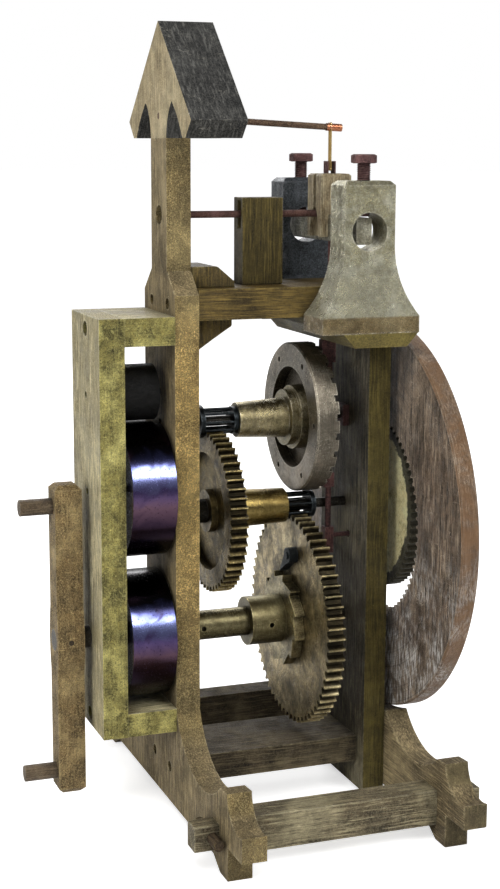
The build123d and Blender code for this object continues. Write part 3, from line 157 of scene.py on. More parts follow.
def ramp(tree, value, low, high, out_low=0.0, out_high=1.0):
    """Value moved from low..high to out_low..out_high, with soft ends."""
    numbers = {"Value": value, "From Min": low, "From Max": high, "To Min": out_low, "To Max": out_high}
    return put(tree, "ShaderNodeMapRange", numbers, interpolation_type="SMOOTHSTEP").outputs[0]


def blend_colour(tree, share, first, second, kind="MIX"):
    """Second colour laid over first by share. The Mix node keeps its colours at inputs 6 and 7."""
    inputs = {0: share, 6: first, 7: second}
    return put(tree, "ShaderNodeMix", inputs, data_type="RGBA", blend_type=kind).outputs[2]


def blend_value(tree, share, first, second):
    """Second value laid over first by share. The Mix node keeps its values at inputs 2 and 3."""
    return put(tree, "ShaderNodeMix", {0: share, 2: first, 3: second}, data_type="FLOAT").outputs[0]


def noise(tree, vector, scale, detail=3.0, rough=0.55, warp=0.0):
    """A Noise Texture's value."""
    node = put(
        tree, "ShaderNodeTexNoise",
        {"Vector": vector, "Scale": scale, "Detail": detail, "Roughness": rough, "Distortion": warp},
    )
    return node.outputs["Fac"]


def new_group(name, inputs, outputs):
    """Starts a group with named sockets. A default of four numbers is a colour, of three a vector."""
    tree = bpy.data.node_groups.new(name, "ShaderNodeTree")
    kinds = {4: "NodeSocketColor", 3: "NodeSocketVector"}
    for label, default in inputs.items():
        size = len(default) if isinstance(default, tuple) else 1
        socket = tree.interface.new_socket(
            label, in_out="INPUT", socket_type=kinds.get(size, "NodeSocketFloat"),
        )
        socket.default_value = default
    for label, kind in outputs.items():
        tree.interface.new_socket(label, in_out="OUTPUT", socket_type=kind)
    entry = tree.nodes.new("NodeGroupInput")
    leave = tree.nodes.new("NodeGroupOutput")
    return tree, entry.outputs, leave.inputs


def place(tree, group, **inputs):
    """Puts a group into a tree. An input's name is its label with spaces as underscores."""
    node = put(tree, "ShaderNodeGroup", node_tree=group)
    for name, value in inputs.items():
        feed(tree, node.inputs[name.replace("_", " ")], value)
    return node.outputs


VALUE, COLOUR = "NodeSocketFloat", "NodeSocketColor"
print("tree helpers ready")

# %% [markdown]
# ## Grain
# Wood and drawn metal both carry long thin streaks. They are one noise pulled out along the
# piece: the Stretch input gives streaks per metre along X, Y and Z, so the long direction has
# the small number. A slow wander bends them, and the darkest lines become open pores.

# %% Grain group
grain_group, i, o = new_group(
    "Grain", {"Vector": (0.0, 0.0, 0.0), "Stretch": (900.0, 900.0, 40.0), "Wander": 0.004},
    {"Streaks": VALUE, "Pores": VALUE},
)
t = grain_group
drift = put(
    t, "ShaderNodeTexNoise", {"Vector": i["Vector"], "Scale": 22.0, "Detail": 2.0},
).outputs["Color"]
drift = vector_calc(t, "SUBTRACT", drift, (0.5, 0.5, 0.5))
amount = put(t, "ShaderNodeCombineXYZ", {"X": i["Wander"], "Y": i["Wander"], "Z": i["Wander"]}).outputs[0]
bent = vector_calc(t, "ADD", i["Vector"], vector_calc(t, "MULTIPLY", drift, amount))
pulled = vector_calc(t, "MULTIPLY", bent, i["Stretch"])
t.links.new(noise(t, pulled, 1.0, 5.0, 0.65), o["Streaks"])
fine = noise(t, vector_calc(t, "MULTIPLY", pulled, (2.3, 2.3, 2.3)), 1.0, 2.0, 0.5)
t.links.new(ramp(t, fine, 0.60, 0.70), o["Pores"])
print("group:", t.name)

# %% [markdown]
# ## Mottle
# Old varnish and tarnish gather in patches, and a sanded or cast surface is full of small
# specks. The group gives both at sizes in metres, so a value can be measured off the real thing.

# %% Mottle group
mottle_group, i, o = new_group(
    "Mottle", {"Vector": (0.0, 0.0, 0.0), "Patch Size": 0.03, "Speck Size": 0.0015},
    {"Patches": VALUE, "Cloud": VALUE, "Specks": VALUE, "Fine": VALUE},
)
t = mottle_group
patch_scale = calc(t, "DIVIDE", 1.0, i["Patch Size"])
speck_scale = calc(t, "DIVIDE", 1.0, i["Speck Size"])
patches = noise(t, i["Vector"], patch_scale, 6.0, 0.62, 0.4)
t.links.new(ramp(t, patches, 0.38, 0.66), o["Patches"])
t.links.new(noise(t, i["Vector"], times(t, patch_scale, 0.45), 3.0, 0.5), o["Cloud"])
speckle = noise(t, i["Vector"], speck_scale, 6.0, 0.85, 0.2)
t.links.new(ramp(t, speckle, 0.46, 0.60), o["Specks"])
t.links.new(noise(t, i["Vector"], times(t, speck_scale, 2.7), 2.0, 0.6), o["Fine"])
print("group:", t.name)

# %% [markdown]
# ## Scratches
# A scratch is a thin line. The contour of a stretched noise, where it crosses its middle value,
# is such a line, and two layers turned against each other cross as real scratches do.

# %% Scratches group
scratch_group, i, o = new_group(
    "Scratches", {"Vector": (0.0, 0.0, 0.0), "Length": 0.02, "Amount": 0.5}, {"Lines": VALUE},
)
t = scratch_group
layers = []
for turn, along in (
    ((0.5, 0.3, 0.7), (7.0, 0.7, 2.0)), ((-0.7, 0.9, -0.4), (0.8, 6.0, 3.0)),
    ((1.4, -0.5, 1.9), (6.5, 2.5, 0.8)),
):
    turned = put(
        t, "ShaderNodeMapping", {"Vector": i["Vector"], "Rotation": turn, "Scale": along},
    ).outputs[0]
    lines = noise(t, turned, calc(t, "DIVIDE", 1.0, i["Length"]), 2.0, 0.6, 0.3)
    apart = calc(t, "ABSOLUTE", minus(t, lines, 0.5))
    layers.append(ramp(t, apart, 0.0, 0.006, 1.0, 0.0))
gone = ramp(t, noise(t, i["Vector"], 60.0, 3.0), minus(t, 0.75, times(t, i["Amount"], 0.5)), 0.78)
both = calc(t, "MAXIMUM", calc(t, "MAXIMUM", layers[0], layers[1]), layers[2])
t.links.new(times(t, both, gone), o["Lines"])
print("group:", t.name)

# %% [markdown]
# ## Worn edges and painted shade in corners
# Hands polish the edges, and the corners get painted shade. The Bevel node sees an edge before
# it is reached, because its rounded normal differs from the flat one. The Ambient Occlusion node
# sees a corner, which is then darkened as painted shade. Both are broken up by noise; real wear
# is never an even line.

# %% Edge and corner groups
edge_group, i, o = new_group(
    "Edge Wear", {"Vector": (0.0, 0.0, 0.0), "Reach": 0.0012, "Breakup Size": 0.004, "Amount": 1.0},
    {"Wear": VALUE},
)
t = edge_group
rounded = put(t, "ShaderNodeBevel", {"Radius": i["Reach"]}, samples=4).outputs[0]
flat = put(t, "ShaderNodeNewGeometry").outputs["Normal"]
agree = put(t, "ShaderNodeVectorMath", {0: rounded, 1: flat}, operation="DOT_PRODUCT")
edge = ramp(t, minus(t, 1.0, agree.outputs["Value"]), 0.004, 0.10)
broken = noise(t, i["Vector"], calc(t, "DIVIDE", 1.0, i["Breakup Size"]), 4.0, 0.7)
kept = ramp(t, broken, minus(t, 0.72, times(t, i["Amount"], 0.45)), 0.72)
t.links.new(times(t, edge, kept), o["Wear"])

# This group gives painted shade: an amount from the AO node where a corner is closed in
corner_shading_group, i, o = new_group(
    "Corner Dirt", {"Vector": (0.0, 0.0, 0.0), "Reach": 0.012, "Amount": 1.0}, {"Dirt": VALUE},
)
t = corner_shading_group
open_air = put(t, "ShaderNodeAmbientOcclusion", {"Distance": i["Reach"]}, samples=4).outputs["AO"]
shut = ramp(t, open_air, 0.92, 0.35)
uneven = ramp(t, noise(t, i["Vector"], 120.0, 4.0, 0.6), 0.25, 0.7, 0.5, 1.0)
t.links.new(times(t, times(t, shut, uneven), i["Amount"], clamp=True), o["Dirt"])
print("groups:", edge_group.name, "and", corner_shading_group.name)

# %% [markdown]
# ## Aged surface
# Nearly every piece here is the same story told with other numbers: a base colour that drifts
# between dark and light, grain, specks, scratches, bright edges and painted shade in corners.
# One group tells it, so that a finish is a short list of values. It gives a colour, a roughness
# and a height; the Principled BSDF and the Bump node stay in each material. What a finish
# doesn't name keeps the group's own value.

# %% Aged surface group
SURFACE_VALUES = {
    "Vector": (0.0, 0.0, 0.0), "Stretch": (900.0, 900.0, 40.0), "Base": (0.2, 0.2, 0.2, 1.0),
    "Dark": (0.05, 0.05, 0.05, 1.0), "Light": (0.5, 0.5, 0.5, 1.0), "Worn": (0.6, 0.6, 0.6, 1.0),
    "Grain": 0.5, "Patch Size": 0.03, "Patches": 0.5, "Speck Size": 0.0015, "Specks": 0.3,
    "Scratches": 0.3, "Scratch Length": 0.02, "Edge Reach": 0.0018, "Edge Wear": 0.7, "Dirt": 0.7,
    "Roughness": 0.6, "Spread": 0.2, "Tone": 0.22, "Tone Size": 0.014,
}
surface_group, i, o = new_group(
    "Aged Surface", SURFACE_VALUES, {"Color": COLOUR, "Roughness": VALUE, "Height": VALUE},
)
t = surface_group
grain = place(t, grain_group, Vector=i["Vector"], Stretch=i["Stretch"])
mottle = place(
    t, mottle_group, Vector=i["Vector"], Patch_Size=i["Patch Size"], Speck_Size=i["Speck Size"],
)
lines = place(
    t, scratch_group, Vector=i["Vector"], Length=i["Scratch Length"], Amount=i["Scratches"],
)["Lines"]
wear = place(t, edge_group, Vector=i["Vector"], Reach=i["Edge Reach"], Amount=i["Edge Wear"])["Wear"]
corner_shading = place(t, corner_shading_group, Vector=i["Vector"], Amount=i["Dirt"])["Dirt"]

bright_speck = times(t, mottle["Specks"], i["Specks"])
dark_speck = times(t, ramp(t, mottle["Fine"], 0.44, 0.34), i["Specks"])
layers = (                                     # how much of which colour goes over the base
    (times(t, mottle["Patches"], i["Patches"]), "Dark"),
    (times(t, ramp(t, mottle["Cloud"], 0.48, 0.72), i["Patches"]), "Light"),
    (times(t, ramp(t, grain["Streaks"], 0.50, 0.64), i["Grain"]), "Light"),
    (times(t, ramp(t, grain["Streaks"], 0.49, 0.36), i["Grain"]), "Dark"),
    (bright_speck, "Light"), (dark_speck, "Dark"),
    (times(t, lines, 0.7), "Worn"), (times(t, wear, 0.85), "Worn"),
)
shade = i["Base"]
for share, over in layers:
    shade = blend_colour(t, share, shade, i[over])
tone = noise(t, i["Vector"], calc(t, "DIVIDE", 1.0, i["Tone Size"]), 9.0, 0.78, 0.3)
tone = times(t, ramp(t, tone, 0.38, 0.62, -1.0, 1.0), i["Tone"])
shade = blend_colour(t, 1.0, shade, plus(t, tone, 1.0), "MULTIPLY")
# Painted shade: closed-in corners go towards a near-black shade of Dark, and are made rougher
shading_colour = blend_colour(t, 0.75, i["Dark"], (0.0, 0.0, 0.0, 1.0))
shade = blend_colour(t, times(t, corner_shading, 0.85), shade, shading_colour)
t.links.new(shade, o["Color"])

rough = minus(t, mottle["Patches"], 0.5)
rough = plus(t, i["Roughness"], times(t, rough, i["Spread"]))
rough = minus(t, rough, times(t, wear, times(t, i["Spread"], 0.6)))
rough = plus(t, rough, times(t, corner_shading, 0.25), clamp=True)
t.links.new(rough, o["Roughness"])

height = times(t, grain["Streaks"], i["Grain"])
height = minus(t, height, times(t, grain["Pores"], times(t, i["Grain"], 0.6)))
height = plus(t, height, times(t, bright_speck, 0.9))
height = minus(t, height, times(t, dark_speck, 0.8))
height = minus(t, height, times(t, lines, 0.5))
height = plus(t, height, times(t, tone, 0.8))
t.links.new(height, o["Height"])
print("group:", t.name, "with", len(t.nodes), "nodes")

# %% [markdown]
# ## Turned metal and faces
# A lathe leaves fine rings round the arbor. The group measures each point's distance from the
# arbor's axis, which runs along X, and makes rings from it and bands from the place along X.
# Facing tells which way a surface looks, for boards whose faces have aged differently.

# %% Turning and facing groups
turning_group, i, o = new_group(
    "Turning", {"Vector": (0.0, 0.0, 0.0), "Axis": (0.0, 0.0, 0.0), "Pitch": 0.0006},
    {"Rings": VALUE, "Bands": VALUE, "Radius": VALUE, "Angle": VALUE},
)
t = turning_group
apart = vector_calc(t, "SUBTRACT", i["Vector"], i["Axis"])
parts = put(t, "ShaderNodeSeparateXYZ", {"Vector": apart}).outputs
radius = calc(t, "SQRT", plus(t, times(t, parts["Y"], parts["Y"]), times(t, parts["Z"], parts["Z"])))
per_pitch = calc(t, "DIVIDE", 1.0, i["Pitch"])
for label, place_on_lathe in (("Rings", radius), ("Bands", parts["X"])):
    step = put(t, "ShaderNodeTexNoise", noise_dimensions="1D")
    for name, value in (("W", times(t, place_on_lathe, per_pitch)), ("Scale", 1.0), ("Detail", 2.0)):
        feed(t, step.inputs[name], value)
    t.links.new(step.outputs["Fac"], o[label])
t.links.new(radius, o["Radius"])
t.links.new(calc(t, "ARCTAN2", parts["Y"], parts["Z"]), o["Angle"])

facing_group, i, o = new_group(
    "Facing", {"Direction": (0.0, 0.0, 1.0), "Softness": 0.15}, {"Share": VALUE},
)
t = facing_group
own_normal = put(t, "ShaderNodeTexCoord").outputs["Normal"]
match = put(
    t, "ShaderNodeVectorMath", {0: own_normal, 1: i["Direction"]}, operation="DOT_PRODUCT",
).outputs["Value"]
t.links.new(ramp(t, match, minus(t, 0.75, i["Softness"]), plus(t, 0.75, i["Softness"])), o["Share"])
print("groups:", turning_group.name, "and", facing_group.name)

# %% [markdown]
# ## From a surface to a material
# The Principled BSDF sits in the material, with its plain numbers on its own sockets. A
# material keeps its Bump node apart from the colours, so the depth of the relief is one number.


# %% Material helpers
# How deep the relief of a board, of a rough board and of a metal piece is
BOARD_RELIEF, DEEP_RELIEF, FINE_RELIEF = 0.6 * MM, 0.8 * MM, 0.2 * MM
LEFT, RIGHT, NEAR = (-1.0, 0.0, 0.0), (1.0, 0.0, 0.0), (0.0, -1.0, 0.0)


def new_material(name, metallic=0.0, depth=BOARD_RELIEF):
    """A material with its Principled BSDF and Bump node. Returns the tree, the place and a joiner."""
    made = bpy.data.materials.new(name)
    made.use_nodes = True
    tree = made.node_tree
    shader = tree.nodes["Principled BSDF"]
    shader.inputs["Metallic"].default_value = metallic
    shader.inputs["Specular IOR Level"].default_value = 0.5 if metallic else 0.3
    where = put(tree, "ShaderNodeTexCoord").outputs["Object"]

    def join(shade, rough, height):
        bump = put(tree, "ShaderNodeBump", {"Height": height, "Strength": 1.0, "Distance": depth})
        tree.links.new(shade, shader.inputs["Base Color"])
        tree.links.new(rough, shader.inputs["Roughness"])
        tree.links.new(bump.outputs[0], shader.inputs["Normal"])
        return made

    return tree, where, join


def aged(name, base, metallic=0.0, depth=BOARD_RELIEF, **changes):
    """A whole material from one aged surface: a base list of values, and what differs from it."""
    tree, where, join = new_material(name, metallic, depth)
    surface = place(tree, surface_group, Vector=where, **dict(base, **changes))
    return join(surface["Color"], surface["Roughness"], surface["Height"])


def share_facing(tree, *directions):
    """How far a surface looks in any of the directions, from 0 to 1."""
    shares = [place(tree, facing_group, Direction=direction)["Share"] for direction in directions]
    found = shares[0]
    for share in shares[1:]:
        found = calc(tree, "MAXIMUM", found, share)
    return found


def two_surfaces(tree, where, share, front, rest):
    """Colour, roughness and height of two aged surfaces, blended by share."""
    one = place(tree, surface_group, Vector=where, **front)
    other = place(tree, surface_group, Vector=where, **rest)
    return (
        blend_colour(tree, share, other["Color"], one["Color"]),
        blend_value(tree, share, other["Roughness"], one["Roughness"]),
        blend_value(tree, share, other["Height"], one["Height"]),
    )


def two_faced(name, directions, front, rest, depth=DEEP_RELIEF):
    """A material whose faces towards the directions have aged differently from the rest."""
    tree, where, join = new_material(name, depth=depth)
    return join(*two_surfaces(tree, where, share_facing(tree, *directions), front, rest))


def height_of(tree, where):
    """A point's height above the floor."""
    return put(tree, "ShaderNodeSeparateXYZ", {"Vector": where}).outputs["Z"]


ALONG_X, ALONG_Y, ALONG_Z = (35.0, 900.0, 900.0), (900.0, 35.0, 900.0), (900.0, 900.0, 35.0)
ALL_WAYS = (260.0, 260.0, 260.0)
finishes = {}
print("material helpers ready")

# %% [markdown]
# ## Posts and feet
# The posts and feet are boards of an old brown-olive wood. On the near edge the surface is
# worn to a sandy, speckled skin; the broad faces show long streaks. So the board has two
# surfaces, and the way each face looks picks one.

# %% Post and foot finishes
sandy_edge = dict(
    Base=(138, 117, 74), Dark=(42, 33, 17), Light=(226, 204, 144), Worn=(235, 216, 165), Stretch=ALONG_Z,
    Grain=0.15, Patches=0.45, Patch_Size=0.05, Specks=0.95, Speck_Size=0.0011, Tone=0.3,
    Tone_Size=0.02, Edge_Wear=0.6, Roughness=0.62,
)
broad_face = dict(
    Base=(125, 109, 77), Dark=(51, 43, 30), Light=(200, 180, 135), Worn=(245, 230, 187), Stretch=ALONG_Z,
    Grain=0.6, Patch_Size=0.035, Specks=0.25, Roughness=0.66,
)
GOLDEN_GAIN = (1.5, 1.38, 1.12, 1.0)          # how much redder and brighter the golden stretch is


def post_finish():
    """The left post: two surfaces, and a golden stretch at the height of the springs."""
    tree, where, join = new_material("worn_post", depth=DEEP_RELIEF)
    share = share_facing(tree, NEAR)
    shade, rough, height = two_surfaces(tree, where, share, sandy_edge, broad_face)
    up = height_of(tree, where)
    spring_z = middle("store_spring").z
    from_below = ramp(tree, up, spring_z - 160 * MM, spring_z - 30 * MM)
    from_above = ramp(tree, up, spring_z + 160 * MM, spring_z + 80 * MM)
    golden = times(tree, from_below, from_above)
    rich = blend_colour(tree, 1.0, shade, GOLDEN_GAIN, "MULTIPLY")
    shade = blend_colour(tree, times(tree, golden, share), shade, rich)
    return join(shade, rough, height)


finishes["left_frame"] = post_finish()

olive_front = dict(
    sandy_edge, Base=(82, 71, 31), Dark=(35, 30, 12), Light=(126, 113, 57), Worn=(160, 147, 84),
    Grain=0.55, Specks=0.3,
)
shaded_face = dict(
    broad_face, Base=(65, 56, 39), Dark=(17, 14, 9), Light=(139, 130, 102), Worn=(162, 153, 123),
    Grain=0.75, Patches=0.7,
)
finishes["right_post"] = two_faced("olive_post", [NEAR], olive_front, shaded_face)
toe_face = dict(
    sandy_edge, Base=(90, 78, 51), Dark=(30, 25, 15), Light=(152, 137, 98), Grain=0.3, Specks=0.5,
)
finishes["right_foot"] = two_faced(
    "worn_foot", [NEAR], toe_face, dict(broad_face, Base=(94, 80, 57), Stretch=ALONG_Y),
)
finishes["crosshead"] = aged("crosshead_wood", olive_front, depth=0.3 * MM, Stretch=ALONG_Y)
print("finishes:", sorted(finishes))

# %% [markdown]
# ## Roof head
# The head is light wood on its gable, and its slopes are painted black. The black has gone
# thin and carries fine pale scratches along the slope.

# %% Roof finish
gable = dict(
    Base=(164, 146, 110), Dark=(78, 65, 42), Light=(218, 204, 165), Worn=(235, 223, 185), Stretch=ALONG_Z,
    Grain=0.55, Patches=0.4, Specks=0.45, Speck_Size=0.0012, Scratches=0.2, Edge_Wear=0.5, Roughness=0.62,
)
slope = dict(
    Base=(32, 32, 31), Dark=(8, 8, 8), Light=(112, 111, 106), Worn=(168, 164, 152),
    Stretch=(700.0, 110.0, 110.0), Grain=0.55, Patches=0.25, Scratches=0.8,
    Scratch_Length=0.03, Edge_Wear=0.5, Dirt=0.2, Roughness=0.5, Spread=0.25,
)
finishes["roof_head"] = two_faced("roof_wood", [LEFT, RIGHT], gable, slope, depth=0.3 * MM)
print("finish:", finishes["roof_head"].name)

# %% [markdown]
# ## Beams, braces and blocks
# These are the same old wood with the grain along the piece. The front beam is scuffed grey;
# the two behind it have the same values, darker and with fewer scratches.

# %% Beam finishes
warm_beam = dict(
    Base=(84, 67, 29), Dark=(33, 26, 10), Light=(127, 106, 53), Worn=(160, 144, 84), Stretch=ALONG_X,
    Grain=0.8, Patches=0.45, Specks=0.2, Scratches=0.35, Roughness=0.55,
)
scuffed_beam = dict(
    Base=(110, 96, 71), Dark=(37, 30, 21), Light=(190, 178, 141), Worn=(217, 209, 177), Stretch=ALONG_X,
    Grain=0.75, Patches=0.75, Patch_Size=0.02, Specks=0.35, Scratches=0.8, Scratch_Length=0.015,
    Edge_Wear=0.9, Spread=0.3,
)
dark_beam = dict(
    scuffed_beam, Base=(77, 65, 46), Dark=(23, 18, 12), Light=(130, 117, 88), Worn=(165, 152, 118),
    Scratches=0.4,
)
finishes["top_beam"] = aged("warm_beam", warm_beam)
finishes["front_beam"] = aged("scuffed_beam", scuffed_beam, depth=DEEP_RELIEF)
finishes["middle_beam"] = aged("dark_beam", dark_beam, depth=DEEP_RELIEF)
finishes["upper_brace"] = aged("brace_wood", warm_beam, Base=(84, 74, 50), Stretch=ALONG_Z, Specks=0.4)
finishes["guide_block"] = aged(
    "guide_wood", warm_beam, Base=(78, 67, 31), Dark=(30, 25, 10), Light=(122, 106, 55), Stretch=ALONG_Z,
    Grain=0.85, Specks=0.35, Speck_Size=0.001,
)
finishes["rocker_head"] = aged(
    "head_wood", warm_beam, Base=(150, 132, 99), Dark=(63, 51, 34), Light=(212, 199, 165),
    Worn=(235, 225, 191), Stretch=ALONG_Z, Specks=0.3,
)
finishes["locking_pins"] = aged(
    "pin_wood", warm_beam, Base=(78, 62, 44), Dark=(30, 23, 15), Light=(124, 106, 80), Stretch=ALONG_Y,
    Specks=0.4,
)
finishes["dowels"] = aged(
    "dowel_wood", warm_beam, Base=(52, 40, 26), Dark=(16, 12, 8), Light=(86, 70, 48),
)
print("finishes:", len(finishes))

# %% [markdown]
# ## Drive unit
# The plate that holds the springs is a lighter greenish yellow, blotched where the finish has
# worn through. Its outer face is paler and streaked.

# %% Drive unit finishes
blotched = dict(
    Base=(174, 161, 88), Dark=(54, 50, 22), Light=(218, 208, 129), Worn=(238, 229, 158), Stretch=ALONG_Z,
    Grain=0.35, Patches=0.9, Patch_Size=0.009, Specks=0.8, Tone=0.3,
    Tone_Size=0.02, Roughness=0.58,
)
pale_face = dict(
    Base=(176, 162, 119), Dark=(88, 77, 51), Light=(240, 228, 182), Worn=(250, 250, 223), Stretch=ALONG_Z,
    Grain=0.95, Patches=0.6, Specks=0.35, Scratches=0.4, Edge_Wear=0.9, Roughness=0.55,
    Tone=0.3, Tone_Size=0.03,
)
finishes["drive_plate"] = two_faced("drive_plate_paint", [NEAR], blotched, pale_face)
finishes["top_spacer"] = two_faced(
    "spacer_paint", [NEAR], dict(blotched, Stretch=ALONG_X), dict(pale_face, Stretch=ALONG_X),
)
finishes["crank_bar"] = aged(
    "crank_wood", {}, depth=DEEP_RELIEF, Base=(138, 112, 70), Dark=(40, 30, 17), Light=(214, 188, 132),
    Worn=(229, 206, 153), Stretch=ALONG_Z, Grain=0.35, Patches=0.75, Patch_Size=0.012, Specks=0.9,
    Speck_Size=0.0014, Edge_Wear=0.9, Roughness=0.58,
)
finishes["crank_pegs"] = aged(
    "peg_wood", {}, Base=(92, 76, 56), Dark=(40, 31, 22), Light=(146, 128, 102), Worn=(178, 160, 132),
    Stretch=ALONG_X, Grain=0.6, Specks=0.4, Roughness=0.5,
)
print("finishes:", len(finishes))

# %% [markdown]
# ## Turned and cut metal
# Wheels and hubs are bronze and brass under old tarnish. The aged surface gives the tarnish,
# and lathe rings are added on top. Metal gets its own look from a high Metallic value, with a
# roughness low enough for long soft highlights on the hubs and tubes.


# %% Metal helpers
# The first colour darkens the lathe grooves; the second is painted shade for the gaps between teeth
GROOVE_DIRT, GAP_SHADE = (0.01, 0.009, 0.007, 1.0), (0.006, 0.005, 0.004, 1.0)


def turned_metal(name, axis, base, ring_share=0.35, metallic=0.95, teeth=None, **changes):
    """An aged metal surface with lathe marks round an axis. Teeth gives root and tip radius, and the
    tooth gaps then get painted shade.
    """
    tree, where, join = new_material(name, metallic, depth=0.15 * MM)
    surface = place(tree, surface_group, Vector=where, **dict(base, **changes))
    lathe = place(tree, turning_group, Vector=where, Axis=tuple(axis))
    marks = times(tree, plus(tree, lathe["Rings"], lathe["Bands"]), 0.5)
    groove = times(tree, ramp(tree, marks, 0.52, 0.40), ring_share)
    shade = blend_colour(tree, groove, surface["Color"], GROOVE_DIRT)
    # Painted shade: tooth flanks in the gaps between the teeth go nearly black
    if teeth:
        root, tip = teeth
        flank = minus(tree, 1.0, share_facing(tree, LEFT, RIGHT))
        gap = ramp(tree, lathe["Radius"], tip - 0.2 * MM, tip - 2.2 * MM)
        gap = times(tree, gap, ramp(tree, lathe["Radius"], root - 1.5 * MM, root - 0.8 * MM))
        shade = blend_colour(tree, times(tree, times(tree, gap, flank), 0.85), shade, GAP_SHADE)
    height = plus(tree, surface["Height"], times(tree, marks, ring_share))
    rough = plus(tree, surface["Roughness"], times(tree, groove, 0.15), clamp=True)
    return join(shade, rough, height)


def tooth_radii(node, deep):
    """Root and tip radius of a wheel, from its box and the depth of its teeth."""
    low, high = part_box(node)
    tip = (high.z - low.z) / 2
    return tip - deep, tip


print("metal helpers ready")

# %% [markdown]
# ## Wheel and hub finishes
# One tarnish is the start of them all. The big wheels are cloudier, the escape wheel is greyer,
# the tube and collar are darker, and the lantern pinions are black steel. Depths of teeth are
# given to the wheels whose tooth gaps get painted shade.

# %% Wheel and hub finishes
tarnish = dict(
    Base=(129, 113, 72), Dark=(37, 31, 19), Light=(205, 185, 130), Worn=(250, 234, 174), Stretch=ALL_WAYS,
    Grain=0.2, Patches=0.4, Specks=0.12, Speck_Size=0.0012, Scratches=0.9,
    Scratch_Length=0.012, Edge_Reach=0.0012, Edge_Wear=1.0, Dirt=1.0, Roughness=0.34, Spread=0.18,
    Tone=0.15, Tone_Size=0.03,
)
cloudy = dict(
    tarnish, Base=(172, 153, 112), Light=(214, 200, 158), Patches=0.8, Patch_Size=0.02, Tone=0.55,
    Tone_Size=0.018, Specks=0.25,
)
finishes["great_wheel"] = turned_metal(
    "great_wheel_bronze", great_axis, cloudy, teeth=tooth_radii("great_wheel", 4.5 * MM),
)
finishes["ratchet_wheel"] = turned_metal("ratchet_bronze", great_axis, cloudy, Base=(134, 124, 94))
finishes["second_wheel"] = turned_metal(
    "second_wheel_brass", second_axis, cloudy, teeth=tooth_radii("second_wheel", 3.9 * MM),
    Base=(124, 107, 66), Light=(190, 170, 116), Worn=(228, 210, 154),
)
finishes["second_hub"] = turned_metal(
    "hub_brass", second_axis, tarnish, ring_share=0.25, metallic=1.0, Base=(126, 108, 62),
    Dark=(46, 38, 18), Light=(180, 160, 104), Worn=(209, 192, 129), Patches=0.3, Roughness=0.3,
)
escape_tarnish = dict(
    tarnish, Base=(120, 113, 99), Dark=(39, 35, 28), Light=(183, 171, 154), Worn=(244, 236, 215),
    Specks=0.15, Patches=0.7, Patch_Size=0.02, Tone=0.35, Tone_Size=0.02, Roughness=0.38,
)
finishes["escape_wheel"] = turned_metal(
    "escape_wheel_bronze", escape_axis, escape_tarnish, ring_share=0.4,
)
finishes["escape_hub"] = turned_metal(
    "escape_hub_bronze", escape_axis, escape_tarnish, ring_share=0.3, Base=(141, 130, 96),
    Light=(208, 194, 148), Patches=0.3, Roughness=0.3,
)
tube = dict(
    tarnish, Base=(103, 95, 67), Dark=(36, 31, 20), Light=(167, 159, 122), Patches=0.45, Specks=0.15,
    Roughness=0.3, Spread=0.15,
)
finishes["winding_tube"] = turned_metal("tube_bronze", great_axis, tube, ring_share=0.2)
finishes["ratchet_collar"] = turned_metal(
    "collar_bronze", great_axis, tube, ring_share=0.3, Roughness=0.36,
)
steel = dict(
    tarnish, Base=(84, 78, 68), Dark=(28, 25, 21), Light=(140, 134, 122), Worn=(190, 186, 174),
    Specks=0.2, Roughness=0.36,
)
finishes["winding_shaft"] = turned_metal(
    "winding_shaft_steel", great_axis, steel, ring_share=0.25, metallic=0.9,
)
black_steel = dict(
    steel, Base=(26, 29, 31), Dark=(8, 9, 10), Light=(62, 70, 74), Worn=(120, 130, 134), Scratches=0.3,
    Roughness=0.3, Dirt=0.6,
)
for name, axis in (("second", second_axis), ("escape", escape_axis)):
    finishes[f"{name}_arbor"] = turned_metal(
        f"{name}_arbor_steel", axis, steel, ring_share=0.25, metallic=0.9, Base=(40, 37, 33),
        Light=(84, 80, 72),
    )
    finishes[f"{name}_pinion"] = turned_metal(
        f"{name}_pinion_steel", axis, black_steel, ring_share=0.25, metallic=0.9,
    )
finishes["click"] = aged("click_steel", black_steel, metallic=0.8, Roughness=0.45)
print("finishes:", len(finishes))

# %% [markdown]
# ## Capitals, screws and small iron
# The near capital is tan-grey and covered with short crossing scratches. The far one has kept
# a blue-grey, almost bare steel look. The screws, the clevis and the rod are rusted to purple
# and red-browns, which is metal under a thick, rough oxide: little metallic, mostly rough.

# %% Capital and iron finishes
near_paint = dict(
    Base=(172, 165, 130), Dark=(76, 70, 46), Light=(213, 211, 191), Worn=(243, 238, 218),
    Stretch=ALL_WAYS, Grain=0.25, Patches=0.6, Patch_Size=0.006, Specks=0.55, Speck_Size=0.0011,
    Scratches=1.0, Scratch_Length=0.01, Edge_Reach=0.002, Edge_Wear=1.0, Dirt=0.6, Roughness=0.34,
    Spread=0.25,
)
far_paint = dict(
    near_paint, Base=(52, 57, 60), Dark=(20, 22, 24), Light=(113, 118, 124), Worn=(143, 146, 151),
    Roughness=0.4,
)
CAPITAL_SLAB = 12 * MM                          # height of the slab under the capital


